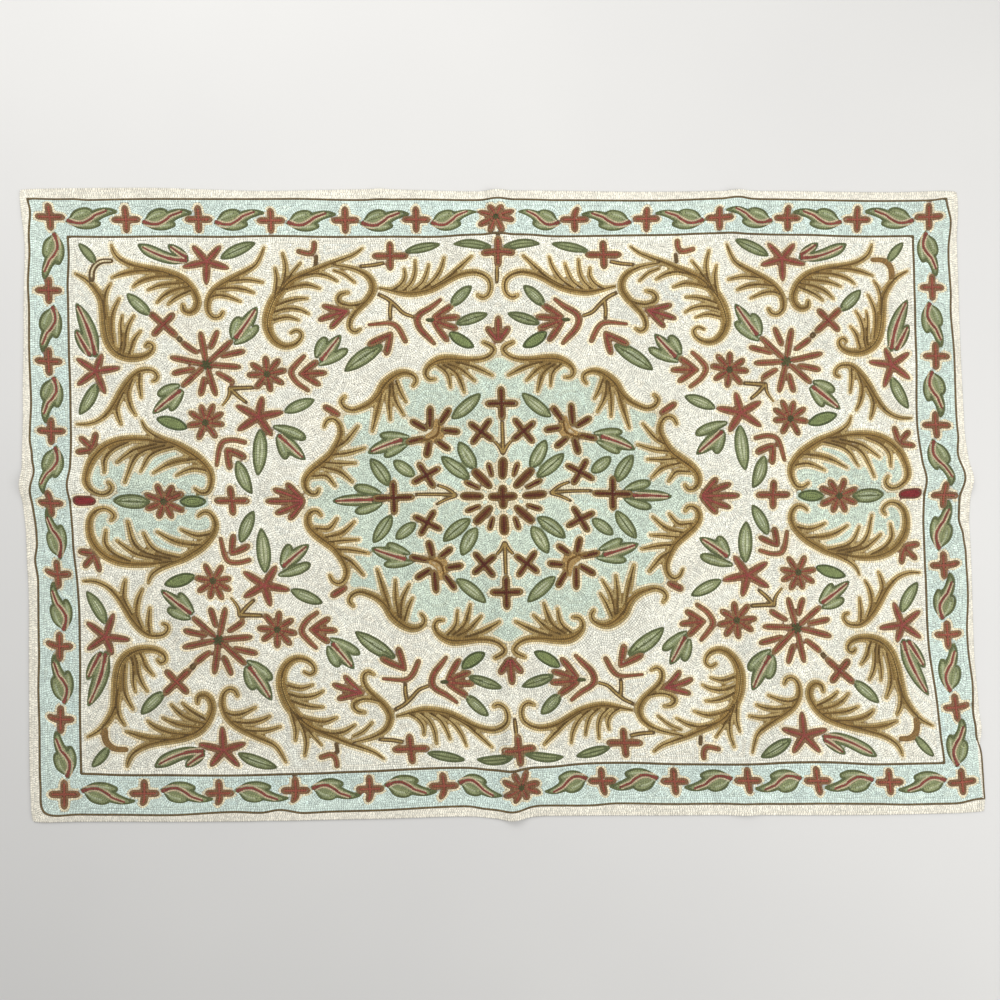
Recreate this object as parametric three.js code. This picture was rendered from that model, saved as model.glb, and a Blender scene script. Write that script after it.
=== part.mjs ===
// A chain stitch rug: one piece of cotton cloth, worked all over in rows of wool, lying flat.
// Sizes are millimetres. +X runs along the rug, +Y across it and +Z up.
import * as THREE from "three";

// Driving dimensions: the cloth before it is pulled out of square.
const rugLength = 1831;
const rugWidth = 1217;
// The backing cloth with the wool on it.
const rugThickness = 4;
// How far each corner is drawn in along its diagonal.
const cornerDraw = 4;

// How far each corner lies from its place on a true rectangle: along the rug and across it.
const corners = {
  backLeft: { along: -19.5, across: 5.5 },
  backRight: { along: -32.5, across: 1.5 },
  frontRight: { along: 19.5, across: 14.5 },
  frontLeft: { along: 4.5, across: -5.5 },
};

// How far each edge wanders outwards from the line between its corners, by the share of the edge
// from the left, or from the back.
const edgeWaves = {
  back: [
    { share: 0.13, out: 2 },
    { share: 0.26, out: -4 },
    { share: 0.38, out: 0 },
    { share: 0.48, out: -4 },
    { share: 0.54, out: -2 },
    { share: 0.66, out: -4 },
    { share: 0.79, out: -2 },
    { share: 0.93, out: -4 },
  ],
  front: [
    { share: 0.05, out: -2 },
    { share: 0.21, out: 1 },
    { share: 0.36, out: -1 },
    { share: 0.46, out: -4 },
    { share: 0.5, out: 3 },
    { share: 0.54, out: -3 },
    { share: 0.7, out: -1 },
    { share: 0.87, out: 2 },
  ],
  left: [
    { share: 0.09, out: -10 },
    { share: 0.21, out: -5 },
    { share: 0.34, out: 0 },
    { share: 0.47, out: 6 },
    { share: 0.55, out: -1 },
    { share: 0.64, out: -4 },
    { share: 0.78, out: -1 },
    { share: 0.91, out: 1 },
  ],
  right: [
    { share: 0.09, out: -7 },
    { share: 0.26, out: -9 },
    { share: 0.38, out: -8 },
    { share: 0.46, out: 1 },
    { share: 0.54, out: -6 },
    { share: 0.74, out: -8 },
    { share: 0.86, out: -3 },
    { share: 0.92, out: -6 },
  ],
};
// The waves die away into the cloth: a larger power is a shorter reach.
const waveFade = 5;

// Soft ridges that storage folds and small ripples leave: both ends, half the width of the ridge,
// and its height at each end and halfway.
const ridges = [
  { x1: -10, y1: 614, x2: 24, y2: -598, half: 34, high1: 9, middle: 4, high2: 10 },
  { x1: -935, y1: 40, x2: 912, y2: 52, half: 38, high1: 9, middle: 3, high2: 9 },
  { x1: 458, y1: 612, x2: 438, y2: 490, half: 30, high1: 8, middle: 5, high2: 0 },
  { x1: -236, y1: 614, x2: -242, y2: 530, half: 30, high1: 4, middle: 2, high2: 0 },
  { x1: 926, y1: -430, x2: 830, y2: -420, half: 32, high1: 5, middle: 3, high2: 0 },
  { x1: 470, y1: -600, x2: 470, y2: -520, half: 40, high1: 4, middle: 2, high2: 0 },
];

// The cloth is built on a grid: its usual step, and finer steps where folds and ripples run.
const gridStep = 54;
const foldSteps = [-1.4, -0.9, -0.45, 0, 0.45, 0.9, 1.4];
const foldsAlong = [
  { at: -240, half: 30 },
  { at: 4, half: 36 },
  { at: 450, half: 32 },
];
const foldsAcross = [
  { at: 46, half: 36 },
  { at: -425, half: 32 },
];

// A smooth step from 0 to 1.
function eased(t) {
  const u = Math.min(Math.max(t, 0), 1);
  return u * u * (3 - 2 * u);
}

// The wave of one edge at a share of its length, at rest at both corners.
function waveAt(rows, share) {
  const knots = [{ share: 0, out: 0 }, ...rows, { share: 1, out: 0 }];
  const next = knots.findIndex((knot, i) => i > 0 && share <= knot.share);
  const [a, b] = [knots[next - 1], knots[next]];
  return a.out + (b.out - a.out) * eased((share - a.share) / (b.share - a.share));
}

// A point of the cloth: its share of the way from the left, and from the back.
function placeOf(fromLeft, fromBack) {
  const [halfLength, halfWidth] = [rugLength / 2, rugWidth / 2];
  const weights = {
    backLeft: (1 - fromLeft) * (1 - fromBack),
    backRight: fromLeft * (1 - fromBack),
    frontRight: fromLeft * fromBack,
    frontLeft: (1 - fromLeft) * fromBack,
  };
  let x = (2 * fromLeft - 1) * halfLength;
  let y = (1 - 2 * fromBack) * halfWidth;
  for (const [name, weight] of Object.entries(weights)) {
    x += corners[name].along * weight;
    y += corners[name].across * weight;
  }
  x -= waveAt(edgeWaves.left, fromBack) * (1 - fromLeft) ** waveFade;
  x += waveAt(edgeWaves.right, fromBack) * fromLeft ** waveFade;
  y += waveAt(edgeWaves.back, fromLeft) * (1 - fromBack) ** waveFade;
  y -= waveAt(edgeWaves.front, fromLeft) * fromBack ** waveFade;
  const atCorner = [0, 1].includes(fromLeft) && [0, 1].includes(fromBack);
  const draw = atCorner ? cornerDraw * Math.SQRT1_2 : 0;
  return [x - Math.sign(x) * draw, y - Math.sign(y) * draw];
}

// How high the underside lies: 0 where the rug is flat, and up over each ridge.
function liftAt(x, y) {
  let lift = 0;
  for (const { x1, y1, x2, y2, half, high1, middle, high2 } of ridges) {
    const length = Math.hypot(x2 - x1, y2 - y1);
    const [dx, dy] = [(x2 - x1) / length, (y2 - y1) / length];
    const share = ((x - x1) * dx + (y - y1) * dy) / length;
    const aside = Math.abs((y - y1) * dx - (x - x1) * dy);
    const [from, to, at] = share < 0.5 ? [high1, middle, share * 2] : [middle, high2, share * 2 - 1];
    lift = Math.max(lift, (from + (to - from) * eased(at)) * eased(1 - aside / half));
  }
  return lift;
}

// Grid lines from one edge to the other, as places: even steps, and finer ones beside a fold.
function gridLines(size, folds) {
  const steps = Math.round(size / gridStep);
  const even = Array.from({ length: steps + 1 }, (_, i) => (i / steps - 0.5) * size);
  const fine = folds.flatMap(({ at, half }) => foldSteps.map((step) => at + step * half));
  const clear = even.filter((place) => fine.every((other) => Math.abs(place - other) > gridStep / 4));
  return [...clear, ...fine].sort((a, b) => a - b);
}

// The closed sheet: a top and an underside on one grid, joined round the edge.
function sheetGeometry() {
  const columns = gridLines(rugLength, foldsAlong).map((x) => 0.5 + x / rugLength);
  const rows = gridLines(rugWidth, foldsAcross).map((y) => 0.5 - y / rugWidth).reverse();
  const points = [];
  for (const thickness of [0, rugThickness]) {
    for (const fromBack of rows) {
      for (const fromLeft of columns) {
        const [x, y] = placeOf(fromLeft, fromBack);
        points.push(x, y, liftAt(x, y) + thickness);
      }
    }
  }
  const under = (column, row) => row * columns.length + column;
  const top = (column, row) => under(column, row) + columns.length * rows.length;
  const faces = [];
  const quad = (a, b, c, d) => faces.push(a, b, c, a, c, d);
  const [lastColumn, lastRow] = [columns.length - 1, rows.length - 1];
  for (let row = 0; row < lastRow; row += 1) {
    for (let column = 0; column < lastColumn; column += 1) {
      const ring = [[column, row + 1], [column + 1, row + 1], [column + 1, row], [column, row]];
      quad(...ring.map(([c, r]) => top(c, r)));
      quad(...ring.reverse().map(([c, r]) => under(c, r)));
    }
  }
  const wall = (c1, r1, c2, r2) => quad(under(c1, r1), under(c2, r2), top(c2, r2), top(c1, r1));
  for (let column = 0; column < lastColumn; column += 1) {
    wall(column + 1, 0, column, 0);
    wall(column, lastRow, column + 1, lastRow);
  }
  for (let row = 0; row < lastRow; row += 1) {
    wall(0, row, 0, row + 1);
    wall(lastColumn, row + 1, lastColumn, row);
  }
  const geometry = new THREE.BufferGeometry();
  geometry.setAttribute("position", new THREE.Float32BufferAttribute(points, 3));
  geometry.setIndex(faces);
  geometry.computeVertexNormals();
  return geometry;
}

const woolOnCotton = new THREE.MeshStandardMaterial({ color: "#d9d3c1", roughness: 0.92, metalness: 0 });
const rugCloth = new THREE.Mesh(sheetGeometry(), woolOnCotton);
rugCloth.name = "rug_cloth";

// The origin is the middle of the rug's own box, on the floor.
const box = new THREE.Box3().setFromObject(rugCloth);
const middle = box.getCenter(new THREE.Vector3());
rugCloth.geometry.translate(-middle.x, -middle.y, -box.min.z);

const rug = new THREE.Group();
rug.name = "chain_stitch_rug";
rug.add(rugCloth);

export default rug;
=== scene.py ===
# A chain stitch rug: cotton cloth, worked all over in rows of dyed wool, lying flat on a floor.
# Metres, with +X along the rug, +Y across it and +Z up. The pattern is charted in centimetres.
import math

import bpy
import numpy as np
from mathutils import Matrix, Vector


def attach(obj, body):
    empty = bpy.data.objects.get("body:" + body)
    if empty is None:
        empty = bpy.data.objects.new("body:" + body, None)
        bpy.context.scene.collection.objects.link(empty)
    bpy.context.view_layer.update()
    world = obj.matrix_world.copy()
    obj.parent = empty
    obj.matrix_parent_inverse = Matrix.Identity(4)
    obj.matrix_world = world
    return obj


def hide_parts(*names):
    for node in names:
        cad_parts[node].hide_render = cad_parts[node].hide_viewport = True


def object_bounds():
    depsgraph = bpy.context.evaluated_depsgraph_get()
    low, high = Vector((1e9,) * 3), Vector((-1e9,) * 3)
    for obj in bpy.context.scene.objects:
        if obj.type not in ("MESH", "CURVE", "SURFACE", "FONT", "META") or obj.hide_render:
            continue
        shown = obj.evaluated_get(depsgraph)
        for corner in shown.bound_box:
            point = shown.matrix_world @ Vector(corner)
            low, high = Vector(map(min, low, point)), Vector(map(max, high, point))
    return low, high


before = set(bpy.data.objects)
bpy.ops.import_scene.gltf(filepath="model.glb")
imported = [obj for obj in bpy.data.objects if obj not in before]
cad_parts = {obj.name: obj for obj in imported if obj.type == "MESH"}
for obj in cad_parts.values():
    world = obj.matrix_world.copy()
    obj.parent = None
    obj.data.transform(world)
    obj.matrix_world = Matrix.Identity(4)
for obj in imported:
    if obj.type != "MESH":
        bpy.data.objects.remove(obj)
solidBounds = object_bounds()
bpy.ops.object.select_all(action="DESELECT")
print("frame loaded")

# The cloth
# It has the solid's outline and soft ridges: a rectangle pulled out of square, with wandering edges.
cloth = {
    "length": 1.831,
    "width": 1.217,
    "backing": 0.0028,  # the cotton, without the wool on it
    "step": 0.008,  # of the grid it is built on
    "cornerDraw": 0.004,  # how far a corner is drawn in along its diagonal
    "cornerFade": 40,  # larger powers are shorter reaches, of the drawn corners and of the edge waves
    "waveFade": 5,
    "backLeft": (-0.0195, 0.0055),
    "backRight": (-0.0325, 0.0015),
    "frontRight": (0.0195, 0.0145),
    "frontLeft": (0.0045, -0.0055),
}
# How far each edge wanders outwards, in millimetres, by the share of the edge from the left or the back
edgeWaves = {
    "back": [(0.13, 2), (0.26, -4), (0.38, 0), (0.48, -4), (0.54, -2), (0.66, -4), (0.79, -2), (0.93, -4)],
    "front": [(0.05, -2), (0.21, 1), (0.36, -1), (0.46, -4), (0.5, 3), (0.54, -3), (0.7, -1), (0.87, 2)],
    "left": [(0.09, -10), (0.21, -5), (0.34, 0), (0.47, 6), (0.55, -1), (0.64, -4), (0.78, -1), (0.91, 1)],
    "right": [(0.09, -7), (0.26, -9), (0.38, -8), (0.46, 1), (0.54, -6), (0.74, -8), (0.86, -3), (0.92, -6)],
}
# Soft ridges in millimetres: both ends, half the width, and the height at the ends and halfway
ridges = [
    (-10, 614, 24, -598, 34, 9, 4, 10),
    (-935, 40, 912, 52, 38, 9, 3, 9),
    (458, 612, 438, 490, 30, 8, 5, 0),
    (-236, 614, -242, 530, 30, 4, 2, 0),
    (926, -430, 830, -420, 32, 5, 3, 0),
    (470, -600, 470, -520, 40, 4, 2, 0),
]


def eased(t):
    u = np.clip(t, 0, 1)
    return u * u * (3 - 2 * u)


def waveAt(waves, share):
    # how far an edge wanders outwards at a share of its length, at rest at both corners
    knots = np.array([(0, 0), *waves, (1, 0)], float)
    after = np.clip(np.searchsorted(knots[:, 0], share), 1, len(knots) - 1)
    a, b = knots[after - 1], knots[after]
    out = a[..., 1] + (b[..., 1] - a[..., 1]) * eased((share - a[..., 0]) / (b[..., 0] - a[..., 0]))
    return out / 1000


def edgePull(waveTable, fromLeft, fromBack):
    # the waves of all four edges, which die away into the cloth
    near = {"left": 1 - fromLeft, "right": fromLeft, "back": 1 - fromBack, "front": fromBack}
    reach = {side: np.clip(share, 0, 1) ** cloth["waveFade"] for side, share in near.items()}
    waves = {"left": fromBack, "right": fromBack, "back": fromLeft, "front": fromLeft}
    pull = {side: waveAt(waveTable[side], share) * reach[side] for side, share in waves.items()}
    x, y = pull["right"] - pull["left"], pull["back"] - pull["front"]
    return x, y


def placeOf(fromLeft, fromBack):
    # a place of the cloth by its share of the way from the left and from the back
    weights = {
        "backLeft": (1 - fromLeft) * (1 - fromBack),
        "backRight": fromLeft * (1 - fromBack),
        "frontRight": fromLeft * fromBack,
        "frontLeft": (1 - fromLeft) * fromBack,
    }
    x = (fromLeft - 0.5) * cloth["length"] + sum(cloth[name][0] * w for name, w in weights.items())
    y = (0.5 - fromBack) * cloth["width"] + sum(cloth[name][1] * w for name, w in weights.items())
    pullX, pullY = edgePull(edgeWaves, fromLeft, fromBack)
    nearCorner = np.abs((2 * fromLeft - 1) * (2 * fromBack - 1)) ** cloth["cornerFade"]
    draw = cloth["cornerDraw"] * math.sqrt(0.5) * nearCorner
    return x + pullX - np.sign(x) * draw, y + pullY - np.sign(y) * draw


# The solid stands on the middle of its own box, so the outline is moved the same way
alongEdge = np.linspace(0, 1, 600)
outline = np.hstack([placeOf(alongEdge, 0 * alongEdge + end) for end in (0, 1)]
                    + [placeOf(0 * alongEdge + end, alongEdge) for end in (0, 1)])
boxMiddle = tuple((outline.min(1) + outline.max(1)) / 2)


def liftAt(x, y):
    # how high the underside lies: 0 where the rug is flat, and up over each ridge
    x, y = (x + boxMiddle[0]) * 1000, (y + boxMiddle[1]) * 1000
    lift = np.zeros(np.shape(x))
    for x1, y1, x2, y2, half, high1, middle, high2 in ridges:
        length = math.hypot(x2 - x1, y2 - y1)
        dx, dy = (x2 - x1) / length, (y2 - y1) / length
        share = ((x - x1) * dx + (y - y1) * dy) / length
        aside = np.abs((y - y1) * dx - (x - x1) * dy)
        first = high1 + (middle - high1) * eased(share * 2)
        second = middle + (high2 - middle) * eased(share * 2 - 1)
        lift = np.maximum(lift, np.where(share < 0.5, first, second) * eased(1 - aside / half))
    return lift / 1000


# The chart
# One quarter of the flat pattern in centimetres from its middle, mirrored as each row of a table says:
# into four quarters, both ends, both middles of the long sides, or the one place. "one left" is in the
# back left quarter only, and "three" is in the other three.
rowWidth = 0.39  # of one row of chain stitch


def chart(columns, rows):
    # a table of words and numbers as one dictionary for each of its lines
    names = columns.split()
    made = []
    for line in rows.strip().splitlines():
        words = line.split()
        values = [float(w) if w.lstrip("-").replace(".", "", 1).isdigit() else w for w in words]
        made.append(dict(zip(names, values)))
    return made


crosses = chart("x y arm arm2 turn half kind sides", """
    0.1 48.2 2.88 2.6 0 0.6 red middles
    20.7 48.0 3.08 2.5 0 0.6 red four
    51.8 0.3 2.98 2.5 0 0.6 red ends
    63.9 34.3 3.08 2.7 43 0.6 red four
    0 19.0 2.8 2.9 0 0.62 maroon middles
    21.2 0.6 3.6 3.1 0 0.62 maroon ends
    4.1 13.6 2.6 2.8 38 0.6 maroon four
    14.9 4.9 2.7 2.8 60 0.6 maroon four
    85.5 -0.4 2.15 2.22 0 0.57 border ends
    85.4 13.5 2.35 2.32 0 0.57 border four
    85.5 27.2 2.15 2.42 0 0.57 border four
    85.3 41.0 2.15 2.32 0 0.57 border four
    84.8 55.7 2.5 2.37 0 0.57 border four
    70.6 55.2 2.35 2.27 0 0.57 border four
    56.9 55.2 2.25 2.32 0 0.57 border four
    43.3 54.9 2.3 2.22 0 0.57 border four
    29.1 55.1 2.25 2.27 0 0.57 border four
    15.6 55.2 2.35 2.22 0 0.57 border four
""")
# A flower's petals: the angle of each and how far its tip reaches
flowers = [
    dict(x=44.7, y=24.7, inner=0.6, half=0.58, kind="red", sides="four",
         petals="167:3.9 129:4.0 87:3.7 35:3.8 -4:3.9 -53:3.9 -99:3.8 -147:3.8"),
    dict(x=56.5, y=15.0, inner=0.6, half=0.56, kind="red", sides="four",
         petals="114:4.1 77:3.7 35:3.8 -10:3.6 -66:3.7 -123:3.7 -172:3.6 151:3.9"),
    dict(x=56.1, y=26.5, inner=0.7, half=0.54, kind="red", sides="four",
         petals="136:7.1 82:6.6 11.6:6.9 -43:6.6 -105:6.6 184:6.6"),
    dict(x=64.8, y=0.2, inner=0.6, half=0.58, kind="red", sides="ends",
         petals="157:4.4 126:3.9 77:3.6 24:3.7 -24:3.9 -68:3.6 -112:3.6 -153:4.2"),
    dict(x=-0.3, y=55.0, inner=0.5, half=0.56, kind="border", sides="middles",
         petals="26:4.0 68:3.3 112:3.4 155:3.8 -158:3.7 -112:3.3 -65:3.3 -6:3.6"),
    dict(x=55.5, y=46.9, inner=0, half=0.64, kind="star", sides="four",
         petals="130:4.4 49:4.4 -14:5.0 -90:4.8 197:4.7"),
    dict(x=76.9, y=25.5, inner=0, half=0.62, kind="star", sides="four",
         petals="111:3.9 35:4.5 -39:4.8 -110:5.0 172:5.0"),
    dict(x=46.7, y=15.9, inner=0, half=0.68, kind="star", sides="four",
         petals="30:5.0 -34:5.0 -124:4.8 168:5.2 103:4.6"),
]
petals = chart("x1 y1 x2 y2 turn half kind sides", """
    53.9 32.9 55.2 29.8 0 0.54 red four
    57.9 28.9 60.3 30.7 6 0.54 red four
    58.6 25.6 62.3 24.7 -6 0.54 red four
    56.6 23.7 57.3 20.5 6 0.56 red four
    54.0 24.8 51.2 23.0 12 0.54 red four
    53.0 28.2 49.0 29.2 6 0.54 red four
    77.4 0.1 80.5 0.1 0 0.85 drop ends
    31.2 16.8 33.8 18.2 0 0.62 red four
    77.8 10.2 77.1 13.1 -14 0.56 red four
    78.2 10.6 79.9 12.2 -6 0.56 red four
    78.0 9.9 80.5 9.5 4 0.56 red four
    52.6 9.7 49.3 8.3 14 0.56 red four
    52.6 9.6 52.0 6.4 -8 0.56 red four
    38.1 24.8 35.1 27.2 8 0.58 red four
    38.3 24.8 33.5 25.0 0 0.56 red four
    38.1 24.8 34.8 22.7 -8 0.58 red four
    12.3 35.9 8.9 38.2 6 0.58 red four
    12.3 35.6 7.6 36.1 4 0.56 red four
    12.3 35.3 8.0 33.9 -4 0.56 red four
    12.4 35.2 9.8 31.5 -10 0.58 red four
    20.7 32.5 24.8 30.5 -8 0.58 red four
    20.7 32.6 21.6 28.7 8 0.58 red four
    28.9 37.1 33.4 38.1 8 0.56 rose four
    28.9 37.1 34.2 35.4 -8 0.56 rose four
    28.9 37.1 32.0 33.9 -8 0.56 rose four
    38.1 0.4 40.8 3.4 -8 0.6 rose ends
    38.1 0.4 43.3 2.4 -8 0.58 rose ends
    38.1 0.3 45.0 0.2 0 0.58 rose ends
    38.1 0.2 43.3 -2.1 8 0.58 rose ends
    38.1 0.2 40.8 -3.1 8 0.6 rose ends
    0 31.3 0.1 35.8 0 0.6 rose middles
    0.3 31.4 2.0 33.9 -6 0.58 rose middles
    -0.3 31.4 -2.0 33.9 6 0.58 rose middles
    14.0 14.6 13.8 18.4 0 0.62 maroon four
    11.9 15.4 10.1 18.0 0 0.62 maroon four
    11.3 13.9 8.5 13.6 0 0.62 maroon four
    12.6 11.7 10.5 10.2 0 0.62 maroon four
    14.2 11.5 14.8 8.8 6 0.66 maroon four
    15.4 12.3 18.3 11.6 0 0.6 maroon four
    14.9 14.2 17.4 15.7 0 0.62 maroon four
    0 0.5 2.3 0.6 0 0.72 maroon one
    0 0.5 0 2.4 0 0.72 maroon one
    0 0.5 -2.4 0.5 0 0.72 maroon one
    0 0.5 0 -1.5 0 0.72 maroon one
    4.3 0.6 7.9 0.6 0 0.76 maroon ends
    0 4.6 0 7.9 0 0.8 maroon one
    2.6 2.7 5.5 5.7 0 0.78 maroon ends
    4.7 2.3 7.3 3.5 0 0.54 maroon ends
    2.1 4.8 2.8 7.2 0 0.54 maroon ends
    0 -3.7 0 -7.2 0 0.8 maroon one
    2.6 -1.8 5.4 -4.9 0 0.78 maroon ends
    4.7 -1.4 7.2 -2.6 0 0.54 maroon ends
    2.1 -3.9 2.8 -6.4 0 0.54 maroon ends
""")
# Bent petals and chevrons: the places that each passes through, with its half width there
bends = [
    dict(kind="red", sides="four",
         path="49.3,11.0,.5 51.3,11.5,.52 53.2,11.3,.55 54.0,10.0,.55 54.5,7.0,.45"),
    dict(kind="red", sides="four",
         path="37.5,28.3,.45 38.9,26.9,.58 40.1,25.1,.62 39.1,23.1,.58 37.0,21.5,.5"),
    dict(kind="red", sides="four",
         path="11.0,39.4,.4 12.9,37.9,.6 15.0,36.6,.66 15.6,35.3,.7 15.0,33.6,.68 13.5,32.0,.62"
         " 12.4,30.8,.45"),
    dict(kind="red", sides="four", path="24.8,34.4,.35 20.8,34.7,.5 19.2,33.7,.6 17.9,31.2,.55"),
    dict(kind="red", sides="four", path="35.1,50.5,.58 35.2,49.3,.58 36.0,48.4,.56 38.1,48.8,.54"),
]
leaves = chart("x1 y1 x2 y2 turn half kind sides", """
    1.3 49.2 8.6 50.1 -24 0.94 leaf four
    17.6 48.9 10.9 50.3 6 0.99 leaf four
    76.7 46.5 79.8 50.5 -12 0.94 pale four
    66.4 36.3 70.6 40.4 10 1.21 pale four
    52.6 47.7 46.3 50.5 12 1.21 leaf four
    59.2 47.6 62.9 50.2 8 1.0 vein four
    50.5 31.7 46.1 38.0 -6 1.3 vein four
    51.0 31.9 49.6 35.6 26 1.1 lobe four
    50.5 30.8 46.4 34.0 -16 1.1 lobe four
    76.9 28.6 80.2 38.5 -20 1.5 vein four
    77.8 28.5 80.4 33.6 8 1.1 vein four
    76.9 22.9 80.1 16.8 12 1.21 pale four
    60.3 14.0 65.7 15.8 -8 1.26 dark four
    61.0 21.4 66.4 16.8 -4 1.2 vein four
    61.4 22.3 65.0 20.6 -22 1.05 lobe four
    60.7 21.0 62.9 17.6 -8 0.95 lobe four
    46.4 13.1 46.6 5.0 4 1.43 pale four
    50.6 7.4 47.8 1.7 -8 1.26 pale four
    42.9 12.3 37.5 8.2 -6 1.25 vein four
    43.6 13.9 38.0 12.0 14 1.1 lobe four
    43.1 11.8 41.4 8.5 8 1.1 lobe four
    41.4 17.0 35.8 19.6 6 1.26 pale four
    22.6 30.2 29.6 25.3 -10 1.49 leaf four
    34.3 27.5 30.2 32.4 -4 1.25 vein four
    35.1 28.3 33.3 31.6 20 1.1 lobe four
    34.5 26.7 29.3 29.4 -12 1.05 lobe four
    8.9 38.3 5.0 41.9 10 1.16 pale four
    7.8 34.8 1.8 36.7 8 1.1 leaf four
    9.1 32.9 4.7 30.2 -14 1.21 dark four
    61.5 0.2 56.7 0.2 0 1.21 dark ends
    67.7 0.1 73.6 0.2 0 1.49 leaf ends
    9.4 16.4 4.0 21.0 -8 1.32 pale four
    22.0 3.2 25.4 8.3 -8 1.4 leaf four
    17.4 5.0 21.0 7.9 6 1.28 pale four
    6.8 4.4 11.9 8.7 8 1.42 leaf four
    5.5 6.4 8.4 11.6 8 1.46 pale four
    18.2 12.6 23.2 12.9 -4 0.95 lobe four
    19.3 12.0 25.8 9.4 -12 1.3 vein four
    18.7 10.9 22.5 8.9 -10 0.95 lobe four
    23.7 1.5 28.1 2.8 -12 1.05 lobe ends
    25.1 0.4 32.6 0.2 -2 1.2 vein ends
    23.7 -0.5 28.2 -1.9 12 1.05 lobe ends
""")
# A bent leaf, and the three strokes of each border leaf
bentLeaves = [
    dict(kind="vein", sides="four",
         path="59.2,47.1,.35 61.5,47.2,.95 64.0,47.9,1.2 66.6,49.1,1.2 68.3,50.1,.4"),
]
borderLeaf = {
    "main": "3.2,-.8,.35 4.6,-1,.7 6.2,-.8,1.05 7.7,-.1,1.15 9.4,.7,1 11.2,1.1,.68 12.6,1.05,.25",
    "outerLobe": "3.9,-.4,.4 5.2,.5,.95 6.7,.95,1 7.4,1.05,.75",
    "innerLobe": "4,-1.2,.4 5.6,-1.6,.75 7.4,-1.5,.9 8.9,-1.25,.6",
    "vein": "3.2,-.6,1 4.4,-1.1,1 5.8,-1.25,1 7.2,-.6,1 8.6,.4,1 10.9,1.3,1",
}
# Each leaf lies between two crosses: where it starts, which way it runs and how long it is drawn
borderLeaves = chart("x y along stretch sides", """
    84.8 55.7 -x 1 four
    70.6 55.4 -x 0.99 four
    56.9 55.4 -x 0.98 four
    43.3 55.2 -x 0.98 four
    29.1 55.2 -x 0.96 four
    15.6 55.3 -x 0.91 four
    84.9 55.7 -y 1.02 four
    85.3 41.0 -y 0.98 four
    85.4 27.2 -y 0.96 four
    85.3 13.5 -y 0.96 four
""")
# The bracket in each corner of the field has a pale middle in one of them and is plain in the others
bracketPath = "73.7,47.0,.5 75.4,46.9,.55 76.6,46.1,.6 77.2,44.8,.6 77.2,43.3,.6"
stems = [
    dict(kind="bracket", sides="one left", path=bracketPath),
    dict(kind="branch", sides="three", path=bracketPath),
    dict(kind="stem", sides="four", path="60.8,31.3,.55 61.3,31.9,.55"),
    dict(kind="stem", sides="four", path="47.7,21.9,.45 51.8,21.7,.5"),
    dict(kind="stem", sides="four", path="51.6,21.6,.45 50.2,20.0,.42 48.8,18.8,.35"),
    dict(kind="stem", sides="four", path="51.8,21.9,.4 52.1,20.0,.34 53.5,18.0,.22"),
    dict(kind="stem", sides="four",
         path="16.3,36.0,.35 18.2,36.7,.4 19.7,38.2,.42 21.2,39.5,.42 22.9,40.4,.4"),
    dict(kind="stem", sides="four", path="20.6,38.8,.45 20.8,37.2,.42 20.7,35.5,.38"),
    dict(kind="stem", sides="four", path="22.1,46.6,.4 24.0,46.2,.42 26.4,46.0,.35"),
    dict(kind="stem", sides="middles", path="-.1,45.4,.35 -.1,43.8,.42 -.1,42.3,.3"),
    dict(kind="twig", sides="four", path="34.7,47.9,.4 34.9,46.5,.4"),
    dict(kind="gold", sides="four",
         path="16.3,12.0,.65 14.3,12.2,1.05 12.8,12.9,1.3 12.2,14.2,1.2 12.3,15.6,.8"),
    dict(kind="stem", sides="ends", path="9.2,.8,.4 13.0,1.0,.4 16.9,1.1,.36"),
    dict(kind="stem", sides="ends", path="9.3,.9,.4 10.8,2.1,.38 12.8,2.9,.32"),
    dict(kind="stem", sides="ends", path="9.3,.6,.4 11.2,-.1,.38 13.0,-1.1,.32"),
    dict(kind="stem", sides="middles", path="0,9.4,.4 0,12.5,.4 0,15.6,.36"),
    dict(kind="stem", sides="four", path=".1,9.3,.4 .7,10.6,.36 1.7,11.8,.3"),
]
# Middles of flowers: round, or a short dart
centres = chart("x1 y1 x2 y2 half kind sides", """
    56.1 26.5 56.1 26.55 1.0 green four
    44.7 24.7 44.7 24.75 0.75 green four
    56.5 15.0 56.5 15.05 0.75 green four
    64.8 0.2 64.8 0.25 0.8 green ends
    -0.3 55.0 -0.3 55.05 0.7 green middles
    12.4 35.4 13.7 35.4 0.35 green four
""")
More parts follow.
